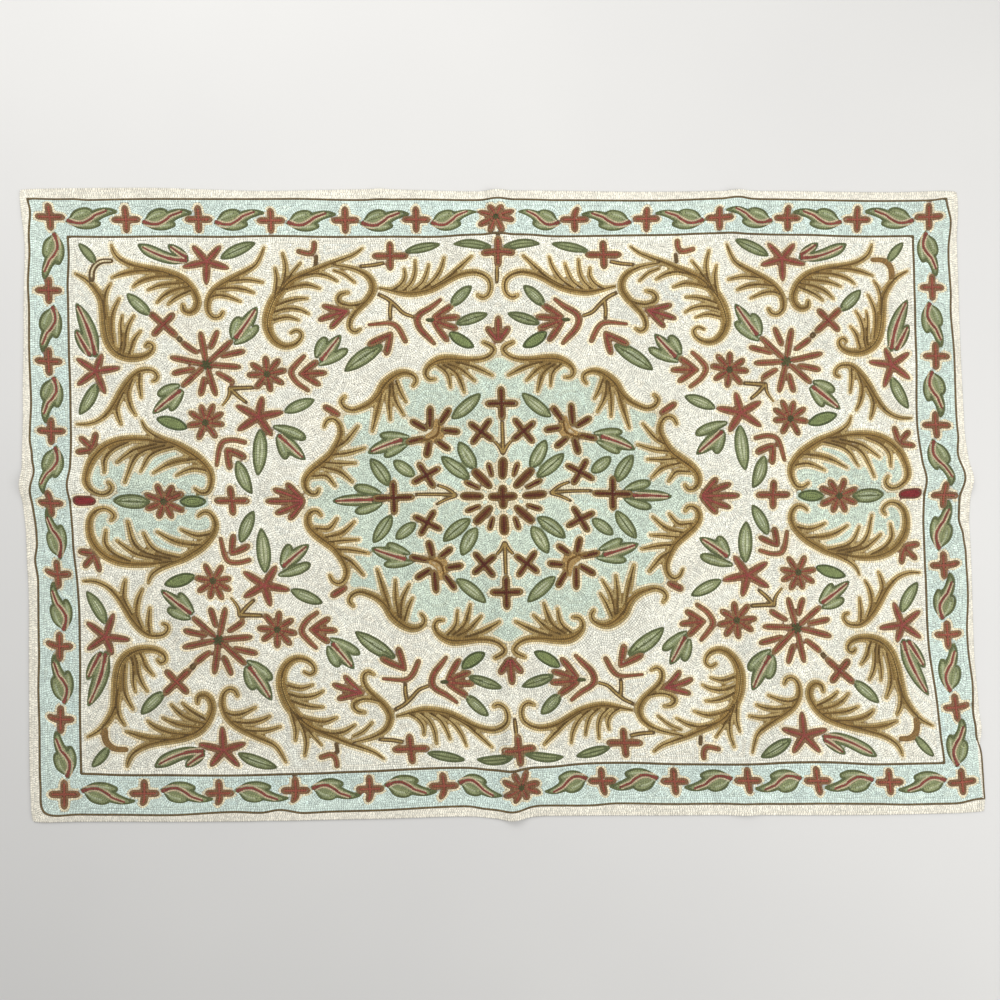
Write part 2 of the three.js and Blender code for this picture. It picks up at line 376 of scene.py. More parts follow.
# Acanthus scrolls: the body of each, end to end, and the fronds that leave it, root to tip
scrolls = [
    dict(name="top corner", sides="four",
         body="60.1,38.2,.5 60.0,37.2,.6 59.0,36.7,.65 57.8,37.4,.72 57.3,39.1,.75 57.9,40.9,.8 58.9,42.3,.85"
         " 60.4,43.5,.9 62.5,44.4,.85 64.8,45.0,.8 67.2,45.5,.72 69.5,46.1,.65 71.3,46.9,.6 72.6,47.9,.55"
         " 73.3,49.1,.48 73.6,50.2,.3",
         fronds=["58.4,41.3,.5 60.1,40.4,.5 61.6,39.5,.48 62.9,38.3,.3",
                 "58.8,41.9,.5 61.3,41.3,.55 63.4,40.2,.5 65.0,38.6,.3",
                 "59.6,42.7,.5 62.5,42.4,.55 64.5,42.0,.5 66.6,41.1,.3",
                 "60.8,43.9,.5 64.2,43.9,.55 66.6,43.4,.55 68.4,42.6,.48 69.4,41.7,.3",
                 "63.6,44.8,.5 68.1,45.0,.58 71.0,44.5,.55 73.4,43.6,.3"]),
    dict(name="side corner", sides="four",
         body="67.3,30.1,.45 66.8,30.7,.48 65.9,30.2,.5 66.3,29.0,.6 68.0,28.1,.7 70.5,28.1,.85 72.8,29.1,.95"
         " 74.2,31.0,1.0 74.8,33.5,1.0 75.0,36.5,.95 75.3,39.0,.85 76.3,41.0,.75 78.0,43.0,.58 80.4,44.4,.3",
         fronds=["70.6,28.6,.5 70.1,29.7,.5 69.5,31.4,.5 68.2,33.0,.3",
                 "71.6,28.9,.5 71.2,30.5,.5 71.0,32.6,.5 70.4,34.4,.45 69.4,36.0,.28",
                 "72.2,29.3,.5 71.9,31.0,.48 71.9,32.6,.48 71.9,34.4,.42 71.6,36.1,.26",
                 "73.4,30.8,.5 73.7,34.1,.52 73.4,36.7,.5 72.1,39.4,.3",
                 "74.8,35.4,.5 74.9,38.8,.5 74.5,40.8,.45 73.6,42.4,.3"]),
    dict(name="beside the star", sides="four",
         body="52.6,36.9,.45 53.2,36.0,.5 54.4,35.8,.52 55.3,36.8,.58 55.4,38.5,.65 54.8,40.2,.7"
         " 53.6,41.7,.75 51.9,42.9,.75 49.8,44.1,.7 47.8,45.2,.62 46.2,46.3,.52 45.3,48.0,.42 44.7,49.6,.28",
         fronds=["54.9,39.8,.45 53.4,40.3,.5 51.6,40.1,.48 49.2,39.1,.28",
                 "53.6,41.5,.45 50.7,41.8,.5 48.4,41.5,.48 46.6,40.8,.3",
                 "51.2,43.1,.45 47.8,43.4,.45 44.9,42.8,.28"]),
    dict(name="side", sides="four",
         body="66.2,23.3,.42 65.5,23.6,.45 65.4,24.5,.48 66.3,25.4,.52 68.1,25.5,.6 69.5,24.8,.7"
         " 70.9,23.4,.75 72.2,21.6,.75 73.4,19.5,.7 74.7,17.5,.62 76.3,15.9,.52 78.4,15.0,.45 80.6,14.9,.28",
         fronds=["68.6,25.0,.45 68.8,23.1,.5 68.5,20.2,.3",
                 "70.0,24.0,.45 71.0,21.3,.52 70.6,18.6,.48 69.6,16.7,.28",
                 "71.8,21.4,.45 73.2,18.4,.5 72.9,16.3,.45 72.4,15.0,.3"]),
    dict(name="big", sides="four",
         body="39.9,32.9,.4 38.8,33.4,.42 37.9,32.8,.48 38.1,31.7,.52 39.4,30.6,.6 41.2,30.3,.68 42.9,31.2,.8"
         " 44.0,32.9,.9 44.3,34.9,1.0 43.8,37.0,1.05 42.9,39.1,1.0 41.5,41.1,.95 39.7,42.9,.88 37.4,44.2,.78"
         " 35.0,45.2,.68 32.6,46.3,.62 30.0,47.3,.55 27.6,48.3,.45 25.9,49.6,.28",
         fronds=["43.2,35.4,.5 40.6,36.0,.48 38.3,35.4,.28",
                 "43.0,37.0,.5 40.3,37.7,.5 37.9,37.4,.45 36.3,36.6,.28",
                 "42.6,38.2,.5 40.6,39.0,.5 38.5,39.5,.45 36.5,39.6,.28",
                 "41.2,41.2,.5 39.1,41.9,.52 36.5,42.3,.5 34.1,41.6,.3",
                 "38.2,43.7,.5 35.3,44.5,.5 32.9,44.2,.48 30.8,43.1,.28",
                 "42.7,39.4,.45 42.4,41.4,.48 42.2,43.5,.45 42.6,45.5,.28",
                 "42.1,40.4,.45 40.9,43.2,.48 40.6,45.8,.45 41.2,48.4,.28",
                 "41.0,42.2,.42 39.7,44.1,.42 37.8,46.5,.25"]),
    dict(name="double curl", sides="four",
         body="31.6,46.3,.35 28.8,45.8,.5 26.8,45.2,.58 25.0,44.1,.66 24.1,42.6,.72 24.1,41.1,.75"
         " 25.0,39.5,.75 26.5,37.9,.7 27.8,36.4,.62 28.5,34.9,.58 28.4,33.6,.55 27.5,33.0,.5 26.5,33.5,.42",
         fronds=["25.6,38.8,.45 28.2,38.2,.5 30.0,38.6,.52 30.7,39.5,.5 30.1,40.5,.46 28.8,40.8,.38",
                 "31.4,45.2,.3 29.4,44.4,.38 27.5,42.8,.26"]),
    dict(name="back middle", sides="four",
         body="22.8,41.7,.3 20.0,41.1,.6 17.6,40.7,.75 15.3,40.9,.78 12.9,41.5,.76 10.9,42.4,.72 8.8,43.5,.68"
         " 6.8,44.2,.64 4.4,44.5,.6 2.6,43.9,.56 1.5,42.8,.54 1.3,41.3,.52 1.8,40.2,.5 2.9,39.8,.5"
         " 3.8,40.2,.45",
         fronds=["12.9,41.8,.4 9.7,43.6,.48 7.1,45.7,.48 5.0,47.6,.28",
                 "14.8,41.4,.4 12.4,43.2,.46 10.9,45.5,.45 10.3,47.6,.26",
                 "16.6,41.2,.4 14.7,42.6,.44 13.8,44.4,.42 13.3,46.3,.26",
                 "18.3,41.2,.4 16.8,42.6,.44 16.0,44.6,.42 15.9,47.1,.26",
                 "20.4,41.3,.4 18.8,42.3,.44 17.9,43.8,.42 18.0,45.4,.26"]),
    dict(name="panel left", sides="four",
         body="58.5,2.6,.38 57.5,1.9,.48 56.3,2.0,.54 55.5,3.1,.6 55.3,4.4,.66 55.8,5.8,.72 56.9,7.2,.78"
         " 58.4,8.5,.85 60.1,9.6,.85 62.0,10.7,.78 64.2,11.6,.68 66.3,12.7,.56 67.8,14.0,.46 68.5,15.6,.28",
         fronds=["56.4,5.9,.45 58.4,6.4,.5 60.1,6.1,.46 62.0,5.2,.28",
                 "58.2,8.1,.45 61.3,7.9,.54 63.9,7.2,.5 66.4,5.7,.28",
                 "62.4,10.5,.45 65.7,9.8,.5 67.5,8.6,.46 68.8,6.0,.28",
                 "64.2,10.8,.45 68.4,9.8,.5 70.4,7.8,.48 71.4,3.8,.28",
                 "65.8,11.1,.45 69.5,10.3,.5 71.3,9.2,.46 73.2,7.6,.28"]),
    dict(name="panel right", sides="four",
         body="63.2,11.3,.4 65.1,11.4,.52 67.8,11.9,.65 70.7,12.0,.75 73.4,11.5,.82 75.7,10.3,.85"
         " 77.3,8.6,.85 78.2,6.6,.8 78.3,4.5,.72 77.7,2.8,.64 76.5,1.7,.56 75.1,1.4,.5 74.0,2.0,.48"
         " 73.6,2.9,.48 74.2,3.7,.4",
         fronds=["71.0,11.5,.45 73.9,10.1,.5 75.4,8.1,.48 75.2,5.6,.28"]),
    dict(name="medallion back", sides="four",
         body="2.8,31.1,.5 1.3,30.3,.55 .9,29.4,.55 1.8,28.4,.58 3.5,27.8,.6 5.9,27.6,.68 8.8,27.8,.82"
         " 10.9,27.7,.9 12.6,27.1,.78 14.0,26.0,.62 14.4,24.8,.54 13.8,23.9,.48 12.6,23.9,.4",
         fronds=["8.4,27.2,.45 5.9,26.6,.5 3.5,25.6,.48 1.5,24.5,.28",
                 "10.0,26.9,.45 7.6,25.9,.55 5.0,23.5,.3",
                 "10.8,26.7,.45 8.5,25.1,.52 7.6,23.1,.48 7.1,21.3,.28",
                 "12.0,26.6,.45 10.2,25.0,.48 9.7,22.3,.28"]),
    dict(name="medallion shoulder", sides="four",
         body="16.9,22.6,.42 16.3,23.4,.48 16.5,24.4,.54 17.6,25.0,.62 19.1,25.0,.72 20.9,24.0,.85"
         " 22.4,22.5,.92 23.5,20.7,.8 25.0,19.2,.68 26.8,18.2,.62 28.5,17.7,.58 30.0,18.3,.56 30.5,19.4,.54"
         " 29.8,20.3,.48",
         fronds=["20.1,23.6,.45 19.4,21.4,.48 18.4,19.5,.28",
                 "20.8,23.2,.45 20.4,19.8,.5 18.9,16.9,.28",
                 "21.2,23.0,.45 21.6,19.2,.5 21.5,16.0,.28",
                 "22.8,21.4,.45 23.8,17.8,.55 24.9,13.7,.3"]),
    dict(name="medallion end", sides="four",
         body="34.0,14.3,.42 33.4,15.5,.5 32.1,15.9,.54 31.0,14.9,.6 30.7,13.1,.68 31.5,11.0,.75 32.7,9.0,.85"
         " 34.4,7.5,.92 36.2,6.0,.9 37.3,4.5,.78 37.4,2.9,.66 36.6,1.8,.56 35.5,1.7,.5 34.9,2.5,.44",
         fronds=["31.8,10.4,.45 29.7,11.9,.5 27.5,14.6,.3",
                 "32.4,9.1,.45 29.4,9.5,.48 26.4,10.4,.28",
                 "33.8,7.7,.45 30.9,7.5,.46 28.2,7.5,.28",
                 "34.4,6.8,.45 31.2,6.0,.52 28.8,3.9,.3",
                 "36.0,5.0,.45 33.5,5.1,.5 31.9,3.2,.3"]),
]
# How far the two brown lines of the border stand from the middle, along the rug and across it
borderLines = {"outer": (89.0, 59.1), "inner": (81.7, 51.8)}
# The outer line was drawn by hand: how far it strays outwards, in millimetres, by the share of each side
lineStray = {
    "back": [(0.05, 1.5), (0.067, -1), (0.13, -1), (0.28, 2.5), (0.35, -1), (0.45, 1.5), (0.515, 3),
             (0.57, 0.5), (0.67, -0.5), (0.767, 1), (0.79, -1), (0.9, -3.5), (0.98, -2)],
    "front": [(0.02, 3), (0.07, 4), (0.13, 6), (0.2, 1), (0.225, 3), (0.245, -2), (0.27, 4.5), (0.3, 3),
              (0.44, 1.5), (0.46, 4), (0.495, 7), (0.52, 3.5), (0.57, 5.5), (0.6, 2), (0.67, 3.5),
              (0.87, 3.5), (0.92, 6.5), (0.97, 7)],
    "left": [(0.02, -3), (0.07, 2), (0.1, 2), (0.2, 0), (0.33, 0), (0.4, 5), (0.43, 0), (0.46, -6), (0.5, 2),
             (0.57, 1.5), (0.6, 8), (0.63, 5), (0.75, 3), (0.8, 4.5), (0.87, 3), (0.93, 3), (0.97, 1.5)],
    "right": [(0.045, 1.5), (0.1, -2), (0.16, 1), (0.2, -2), (0.27, -1), (0.4, 3.5), (0.435, -4),
              (0.46, -1), (0.51, -8), (0.54, -8), (0.57, 0), (0.6, 4), (0.667, 5), (0.733, 1), (0.8, 0),
              (0.867, -7), (0.89, -7), (0.93, 1)],
}
# How far its corners lie from where the chart has them, in millimetres to the right and to the back
cornerStray = {(-1, 1): (5.7, 1.4), (1, 1): (-7, 0.8), (1, -1): (-2, -2), (-1, -1): (-1, -5)}
handDrawn = {
    "cornerShare": 0.04,  # of a side, over which the stray of its corner dies away
    "roundWithin": 3.5,  # centimetres from the front left corner, which is rounded off
    "roundTimes": 16,
}
# The panels that have an aqua ground: the rim of one quarter of each
aquaPanels = {
    "medallion": dict(
        sides="one",
        path="0,28.4 3.5,27.8 8.8,27.8 12.6,27.1 14.4,25.4 16.5,24.6 19.1,25.0 22.4,22.5 23.5,20.7"
        " 25.0,19.2 28.5,17.7 30.4,16.8 30.8,14.4 30.7,13.1 31.5,11.0 34.4,7.5 37.3,4.5 37.6,2.6 38.2,0"),
    "panel": dict(
        sides="ends",
        path="56.4,0 56.0,2.0 55.3,4.4 56.9,7.2 60.1,9.6 64.2,11.5 67.8,11.9 73.4,11.5 77.3,8.6"
        " 78.3,4.5 77.3,2.2 77.0,0"),
}

# Half widths along a stroke, as shares of its widest
forms = {
    "petal": ([0, 0.1, 0.75, 0.93, 1], [0.92, 1.1, 1.25, 1.12, 0.78]),
    "point": ([0, 0.12, 0.5, 0.85, 1], [1.0, 1.14, 1.22, 0.95, 0.45]),
    "leaf": ([0, 0.12, 0.3, 0.5, 0.7, 0.88, 1], [0.3, 0.66, 0.95, 1, 0.86, 0.5, 0.12]),
    "lobe": ([0, 0.3, 0.65, 0.9, 1], [0.4, 0.85, 1, 0.82, 0.5]),
}
mirrorings = {
    "four": [(1, 1), (-1, 1), (-1, -1), (1, -1)],
    "ends": [(1, 1), (-1, 1)],
    "middles": [(1, 1), (1, -1)],
    "one": [(1, 1)],
    "one left": [(-1, 1)],
    "three": [(1, 1), (-1, -1), (1, -1)],
}
chartStep = 0.3  # between the places of a stroke


def bowed(x1, y1, x2, y2, turn):
    # an arc that turns by so many degrees on its way from one place to the other
    chord = math.hypot(x2 - x1, y2 - y1)
    steps = max(2, int(round(chord / chartStep)))
    t = np.linspace(0, 1, steps + 1)
    bow = -chord * math.tan(math.radians(turn) / 4) * 2 * t * (1 - t)
    dx, dy = (x2 - x1) / chord, (y2 - y1) / chord
    return np.stack([x1 + (x2 - x1) * t - dy * bow, y1 + (y2 - y1) * t + dx * bow], 1)


def curved(path):
    # a smooth curve through the places of a path, with what else each place holds
    knots = np.array([[float(n) for n in place.split(",")] for place in path.split()])
    ghost = np.vstack([2 * knots[0] - knots[1], knots, 2 * knots[-1] - knots[-2]])
    out = []
    for a, b, c, d in zip(ghost[:-3], ghost[1:-2], ghost[2:-1], ghost[3:]):
        steps = max(2, int(math.hypot(*(c - b)[:2]) / chartStep))
        t = (np.arange(steps) / steps)[:, None]
        out.append(0.5 * (2 * b + (c - a) * t + (2 * a - 5 * b + 4 * c - d) * t**2
                          + (3 * b - a - 3 * c + d) * t**3))
    return np.vstack([*out, knots[-1:]])


def alongPath(points):
    # how far it is from the start to each point
    return np.r_[0, np.cumsum(np.hypot(*np.diff(points, axis=0).T))]


strokes = []
fullness = {"body": 1.1, "frond": 1.3}  # the scrolls are worked fuller than the widths on the chart
bluntTip = 0.41  # and the tips of their fronds are blunt
roundTip = 0.7  # the share of its half width by which a petal's round tip reaches past its last place
veinHalf = 0.2


def addStroke(layer, kind, points, half, sides, spine=True):
    # a line of places with its half width, in every quarter where it stands
    for mx, my in mirrorings[sides]:
        strokes.append(dict(layer=layer, kind=kind, points=points * (mx, my),
                            half=np.broadcast_to(half, len(points)), spine=spine))


def formed(points, half, form):
    # half widths that swell and narrow along a stroke
    run = alongPath(points)
    return half * np.interp(run / run[-1], *forms[form])


for c in crosses:
    for k in range(4):
        arm = c["arm"] if k % 2 == 0 else c["arm2"]
        angle = math.radians(c["turn"] + 90 * k)
        tip = c["x"] + arm * math.cos(angle), c["y"] + arm * math.sin(angle)
        points = bowed(c["x"], c["y"], *tip, 0)
        addStroke("petals", c["kind"], points, formed(points, c["half"], "petal"), c["sides"])
for f in flowers:
    for petal in f["petals"].split():
        angle, reach = (float(n) for n in petal.split(":"))
        way = np.array([math.cos(math.radians(angle)), math.sin(math.radians(angle))])
        middle = np.array([f["x"], f["y"]])
        tip = middle + way * (reach - f["half"] * roundTip)
        points = bowed(*(middle + way * f["inner"]), *tip, 0)
        form = "point" if f["kind"] == "star" else "petal"
        addStroke("petals", f["kind"], points, formed(points, f["half"], form), f["sides"])
for p in petals:
    points = bowed(p["x1"], p["y1"], p["x2"], p["y2"], p["turn"])
    addStroke("petals", p["kind"], points, formed(points, p["half"], "petal"), p["sides"])
for b in bends:
    path = curved(b["path"])
    addStroke("petals", b["kind"], path[:, :2], path[:, 2], b["sides"])
for f in leaves:
    points = bowed(f["x1"], f["y1"], f["x2"], f["y2"], f["turn"])
    form = "lobe" if f["kind"] == "lobe" else "leaf"
    addStroke("leaves", f["kind"], points, formed(points, f["half"], form), f["sides"])
for b in bentLeaves:
    path = curved(b["path"])
    addStroke("leaves", b["kind"], path[:, :2], path[:, 2], b["sides"])
for b in borderLeaves:
    for part, text in borderLeaf.items():
        path = curved(text)
        u, v, half = path[:, 0] * b["stretch"], path[:, 1], path[:, 2]
        points = np.stack([b["x"] - u, b["y"] + v] if b["along"] == "-x" else [b["x"] + v, b["y"] - u], 1)
        if part == "vein":
            addStroke("veins", "vein", points, veinHalf, b["sides"])
        else:
            addStroke("leaves", "border leaf", points, half, b["sides"], spine=part != "main")
for s in stems:
    path = curved(s["path"])
    addStroke("stems", s["kind"], path[:, :2], path[:, 2], s["sides"])
for c in centres:
    points = np.array([[c["x1"], c["y1"]], [c["x2"], c["y2"]]])
    addStroke("centres", c["kind"], points, c["half"], c["sides"], spine=False)
for s in scrolls:
    for part, text in [("body", s["body"]), *[("frond", frond) for frond in s["fronds"]]]:
        path = curved(text)
        half = np.maximum(path[:, 2] * fullness[part], bluntTip if part == "frond" else 0)
        addStroke("scrolls", "scroll", path[:, :2], half, s["sides"])

# The sides of the rug, clockwise: the corners that each runs between, which way is outwards, and how
# many places are taken along it
sides = {
    "back": ((-1, 1), (1, 1), (0, 1), 330),
    "right": ((1, 1), (1, -1), (1, 0), 220),
    "front": ((1, -1), (-1, -1), (0, -1), 330),
    "left": ((-1, -1), (-1, 1), (-1, 0), 220),
}


def softened(values, times):
    # each value drawn towards its neighbours, as often as asked
    for _ in range(times):
        values = (np.roll(values, 1, 0) + 2 * values + np.roll(values, -1, 0)) / 4
    return values


def lineRound(name, stray):
    # the whole of a border line, clockwise from its left corner at the back
    loop = []
    for side, (a, b, outwards, count) in sides.items():
        t = (np.arange(count) / count)[:, None]
        corner = np.array(a) + (np.array(b) - a) * t
        share = (corner[:, 0] + 1) / 2 if side in ("back", "front") else (1 - corner[:, 1]) / 2
        out = waveAt(stray[side], share)[:, None] * 100 if stray else 0
        places = corner * borderLines[name] + np.array(outwards) * out
        if stray:
            for end, apart in ((a, t), (b, 1 - t)):
                places += np.array(cornerStray[end]) / 10 * (1 - eased(apart / handDrawn["cornerShare"]))
        loop.append(places)
    loop = np.vstack(loop)
    if stray:
        fromCorner = np.hypot(*(loop + borderLines[name]).T)
        near = np.exp(-(fromCorner / handDrawn["roundWithin"]) ** 2)[:, None]
        loop = loop + (softened(loop, handDrawn["roundTimes"]) - loop) * near
    return loop


lineLoops = {"outer": lineRound("outer", lineStray), "inner": lineRound("inner", None)}
linePart = 20  # places in each of the strokes that a line is cut into, as short ones are quicker to measure
for loop in lineLoops.values():
    closed = np.vstack([loop, loop[:1]])
    for first in range(0, len(loop), linePart):
        addStroke("lines", "line", closed[first:first + linePart + 1], rowWidth / 2, "one", spine=False)
print(f"chart read: {len(strokes)} strokes")

# Distance fields
# Each layer of strokes as the distance outwards from its shapes, on a grid over the flat pattern.
fieldGrid = {
    "step": 0.15,
    "halfX": 90.3,
    "halfY": 60.6,
    "reach": 6.0,  # distances are worked out as far as this from a shape
    "far": 9.0,  # and what lies beyond counts as this far
}
gridX = np.arange(-fieldGrid["halfX"], fieldGrid["halfX"] + 0.01, fieldGrid["step"])
gridY = np.arange(-fieldGrid["halfY"], fieldGrid["halfY"] + 0.01, fieldGrid["step"])
layerNames = ["lines", "centres", "petals", "stems", "leaves", "scrolls"]
kindNames = sorted({s["kind"] for s in strokes})
gridShape = (len(gridY), len(gridX))
distance = {name: np.full(gridShape, fieldGrid["far"], np.float32) for name in layerNames}
nearestKind = {name: np.zeros(gridShape, np.uint8) for name in layerNames}


def cellRange(axis, low, high):
    first, last = np.searchsorted(axis, (low, high))
    return slice(first, last)


def distanceTo(points, half, xs, ys):
    # how far each place of a grid lies outside a stroke, and less than 0 inside it
    best = np.full((len(ys), len(xs)), fieldGrid["far"], np.float32)
    x, y = xs[None, :].astype(np.float32), ys[:, None].astype(np.float32)
    for (ax, ay), (bx, by), ra, rb in zip(points[:-1], points[1:], half[:-1], half[1:]):
        dx, dy = bx - ax, by - ay
        t = np.clip(((x - ax) * dx + (y - ay) * dy) / max(dx * dx + dy * dy, 1e-6), 0, 1)
        np.minimum(best, np.hypot(x - ax - t * dx, y - ay - t * dy) - (ra + t * (rb - ra)), out=best)
    return best


for s in strokes:
    if s["layer"] not in distance:
        continue
    low, high = s["points"].min(0) - fieldGrid["reach"], s["points"].max(0) + fieldGrid["reach"]
    columns, rows = cellRange(gridX, low[0], high[0]), cellRange(gridY, low[1], high[1])
    found = distanceTo(s["points"], s["half"], gridX[columns], gridY[rows])
    field, kinds = distance[s["layer"]][rows, columns], nearestKind[s["layer"]][rows, columns]
    kinds[found < field] = kindNames.index(s["kind"])
    np.minimum(field, found, out=field)
print("distance fields done")


def insidePolygon(corners):
    # which places of the grid lie inside: those with an odd number of edges on their right
    x, y = gridX[None, :], gridY[:, None]
    inside = np.zeros(gridShape, bool)
    for (ax, ay), (bx, by) in zip(corners, np.roll(corners, -1, 0)):
        if ay != by:
            inside ^= ((ay > y) != (by > y)) & (x < (bx - ax) * (y - ay) / (by - ay) + ax)
    return inside


aquaEdge = np.full(gridShape, fieldGrid["far"], np.float32)
insideAqua = np.zeros(gridShape, bool)
rimReach = 3  # centimetres each side of a panel's rim
for panel in aquaPanels.values():
    quarter = np.array([[float(n) for n in place.split(",")] for place in panel["path"].split()])
    if panel["sides"] == "one":
        rim = np.vstack([quarter, quarter[::-1] * (1, -1), quarter * (-1, -1), quarter[::-1] * (-1, 1)])
        rims = [rim]
    else:
        right = np.vstack([quarter, quarter[::-1] * (1, -1)])
        rims = [right, right * (-1, 1)]
    for rim in rims:
        insideAqua |= insidePolygon(rim)
        closed = np.vstack([rim, rim[:1]])
        low, high = rim.min(0) - rimReach, rim.max(0) + rimReach
        columns, rows = cellRange(gridX, low[0], high[0]), cellRange(gridY, low[1], high[1])
        found = distanceTo(closed, np.zeros(len(closed)), gridX[columns], gridY[rows])
        np.minimum(aquaEdge[rows, columns], found, out=aquaEdge[rows, columns])
insideOuter, insideInner = insidePolygon(lineLoops["outer"]), insidePolygon(lineLoops["inner"])

# Rows of stitches
# A row is a level line of a layer's depth, so the rows of a shape run side by side and follow its edge.
levelSteps = {  # the two edges of a cell that a level line joins, by which of its corners lie inside
    1: ["bottom left"], 2: ["right bottom"], 3: ["right left"], 4: ["top right"],
    5: ["bottom left", "top right"], 6: ["top bottom"], 7: ["top left"], 8: ["left top"], 9: ["bottom top"],
    10: ["right bottom", "left top"], 11: ["right top"], 12: ["left right"], 13: ["bottom right"],
    14: ["left bottom"],
}


def levelLines(field, level):
    # the closed lines along which a field has one level, each with its higher side on the left
    high = field > level
    rowCount, columnCount = field.shape
    size = rowCount * columnCount
    code = high[:-1, :-1] + 2 * high[:-1, 1:] + 4 * high[1:, 1:] + 8 * high[1:, :-1]
    starts, ends = [], []
    for value, steps in levelSteps.items():
        row, column = np.nonzero(code == value)
        here = row * columnCount + column
        edge = {"bottom": here, "top": here + columnCount, "left": size + here, "right": size + here + 1}
        for step in steps:
            start, end = step.split()
            starts.append(edge[start])
            ends.append(edge[end])
    follow = dict(zip(np.concatenate(starts).tolist(), np.concatenate(ends).tolist()))
    lines = []
    while follow:
        first, here = follow.popitem()
        loop = [first]
        while here != first:
            loop.append(here)
            here = follow.pop(here)
        edges = np.array(loop)
        upright = edges >= size
        row, column = np.divmod(edges % size, columnCount)
        a, b = field[row, column], field[row + upright, column + ~upright]
        t = (level - a) / (b - a)
        x = column + np.where(upright, 0, t)
        y = row + np.where(upright, t, 0)
        lines.append(np.stack([gridX[0] + x * fieldGrid["step"], gridY[0] + y * fieldGrid["step"]], 1))
    return lines


def lookUp(field, points):
    # the field's own value at the nearest place of the grid
    column = np.clip(np.rint((points[:, 0] - gridX[0]) / fieldGrid["step"]).astype(int), 0, len(gridX) - 1)
    row = np.clip(np.rint((points[:, 1] - gridY[0]) / fieldGrid["step"]).astype(int), 0, len(gridY) - 1)
    return field[row, column]


def between(field, points):
    # the field's value in between the places of the grid
    x = np.clip((points[:, 0] - gridX[0]) / fieldGrid["step"], 0, len(gridX) - 1.001)
    y = np.clip((points[:, 1] - gridY[0]) / fieldGrid["step"], 0, len(gridY) - 1.001)
    column, row = x.astype(int), y.astype(int)
    u, v = x - column, y - row
    low = field[row, column] * (1 - u) + field[row, column + 1] * u
    high = field[row + 1, column] * (1 - u) + field[row + 1, column + 1] * u
    return low * (1 - v) + high * v


def linear(code):
    # a colour as the renderer counts it, from its usual code
    channels = [int(code[i:i + 2], 16) / 255 for i in (0, 2, 4)]
    return tuple(c / 12.92 if c < 0.04045 else ((c + 0.055) / 1.055) ** 2.4 for c in channels)


yarns = {
    "cream": "F1EFE0", "hem": "EDE8D8", "border aqua": "D8E7DD", "panel aqua": "D2DFCE",
    "cream halo": "F2E6C6", "aqua halo": "EBE0BF", "cream middle": "D9CBA4",
    "brick": "904A3C", "brick side": "86523A", "brick edge": "8B6A48",
    "rose": "954743", "rose edge": "8A6748", "crimson": "862E30", "crimson edge": "754636",
    "maroon": "59281F", "maroon side": "664226", "maroon edge": "866C43",
    "border red": "9A5343", "border edge": "886547",
    "leaf edge": "616843", "leaf side": "8E956A", "leaf": "A9B08D", "pale": "B7BD9B",
    "pale middle": "8F966C", "dark edge": "545E3A", "dark": "7D8957",
    "vein": "84473D", "vein side": "CDB797", "green": "545433",
    "ochre edge": "AF9763", "ochre side": "917541", "ochre": "A58A52", "ochre line": "664F2A",
    "bark": "685437", "branch": "8A6C40", "line": "6C5C3F", "gold": "B0905A", "gold line": "75552A",
}
# The yarn of each kind of shape: its edge row, its second row, its inner rows, and the row along its spine
dyes = {
    "red": "brick edge, brick side, brick, brick",
    "star": "rose edge, brick side, rose, rose",
    "rose": "brick edge, brick side, rose, rose",
    "drop": "crimson edge, crimson, crimson, crimson",
    "maroon": "maroon edge, maroon side, maroon, maroon",
    "border": "border edge, brick side, border red, border red",
    "leaf": "leaf edge, leaf side, leaf, leaf edge",
    "pale": "leaf edge, leaf side, pale, pale middle",
    "lobe": "leaf edge, leaf side, leaf, leaf",
    "dark": "dark edge, dark, dark, dark",
    "vein": "leaf edge, leaf side, leaf, vein",
    "border leaf": "leaf edge, leaf side, leaf, leaf",
    "scroll": "ochre edge, ochre side, ochre, ochre line",
    "stem": "bark, ochre, ochre, ochre",
    "bracket": "bark, cream middle, cream middle, cream middle",
    "branch": "branch, branch, branch, branch",
    "twig": "bark, bark, bark, bark",
    "green": "green, green, green, green",
    "gold": "gold, gold, gold, gold line",
    "line": "line, line, line, line",
}
yarnList = sorted(yarns)
yarnColours = np.array([linear(yarns[name]) for name in yarnList])
dyeNumbers = np.array([[yarnList.index(name) for name in dyes[kind].split(", ")] for kind in kindNames])

rowsOf = {}  # the rows of each piece, in centimetres on the flat pattern
overlap = 0.04  # by which a row is wider than its share, so that neighbours meet
pieceOfLayer = {"centres": "flower_rows", "petals": "flower_rows", "stems": "scroll_rows",
                "leaves": "leaf_rows", "veins": "leaf_rows", "scrolls": "scroll_rows"}
rowsAcross = {"centres": 5, "petals": 3, "stems": 1, "leaves": 4, "scrolls": 4}  # at most
shortestRow = 0.5
thinLoop = 0.32  # a loop thinner than this is worked as one row down its middle
softening = {"shapes": 1, "ground": 3, "widths": 2}  # how often rows and their widths are softened


def addRow(piece, points, yarn, closed=True, raised=0.0, left=rowWidth / 2, right=rowWidth / 2):
    # a row with its yarn, how many millimetres it is raised, and its half width on either side
    count = len(points)
    rowsOf.setdefault(piece, []).append(dict(
        points=points, closed=closed, raised=raised, yarn=np.broadcast_to(yarn, count),
        left=np.broadcast_to(left, count) + overlap, right=np.broadcast_to(right, count) + overlap))


def leftOf(points):
    # the direction to the left of a closed row at each of its places
    way = np.roll(points, -2, 0) - np.roll(points, 2, 0)
    way /= np.maximum(np.hypot(*way.T), 1e-6)[:, None]
    return np.stack([-way[:, 1], way[:, 0]], 1)


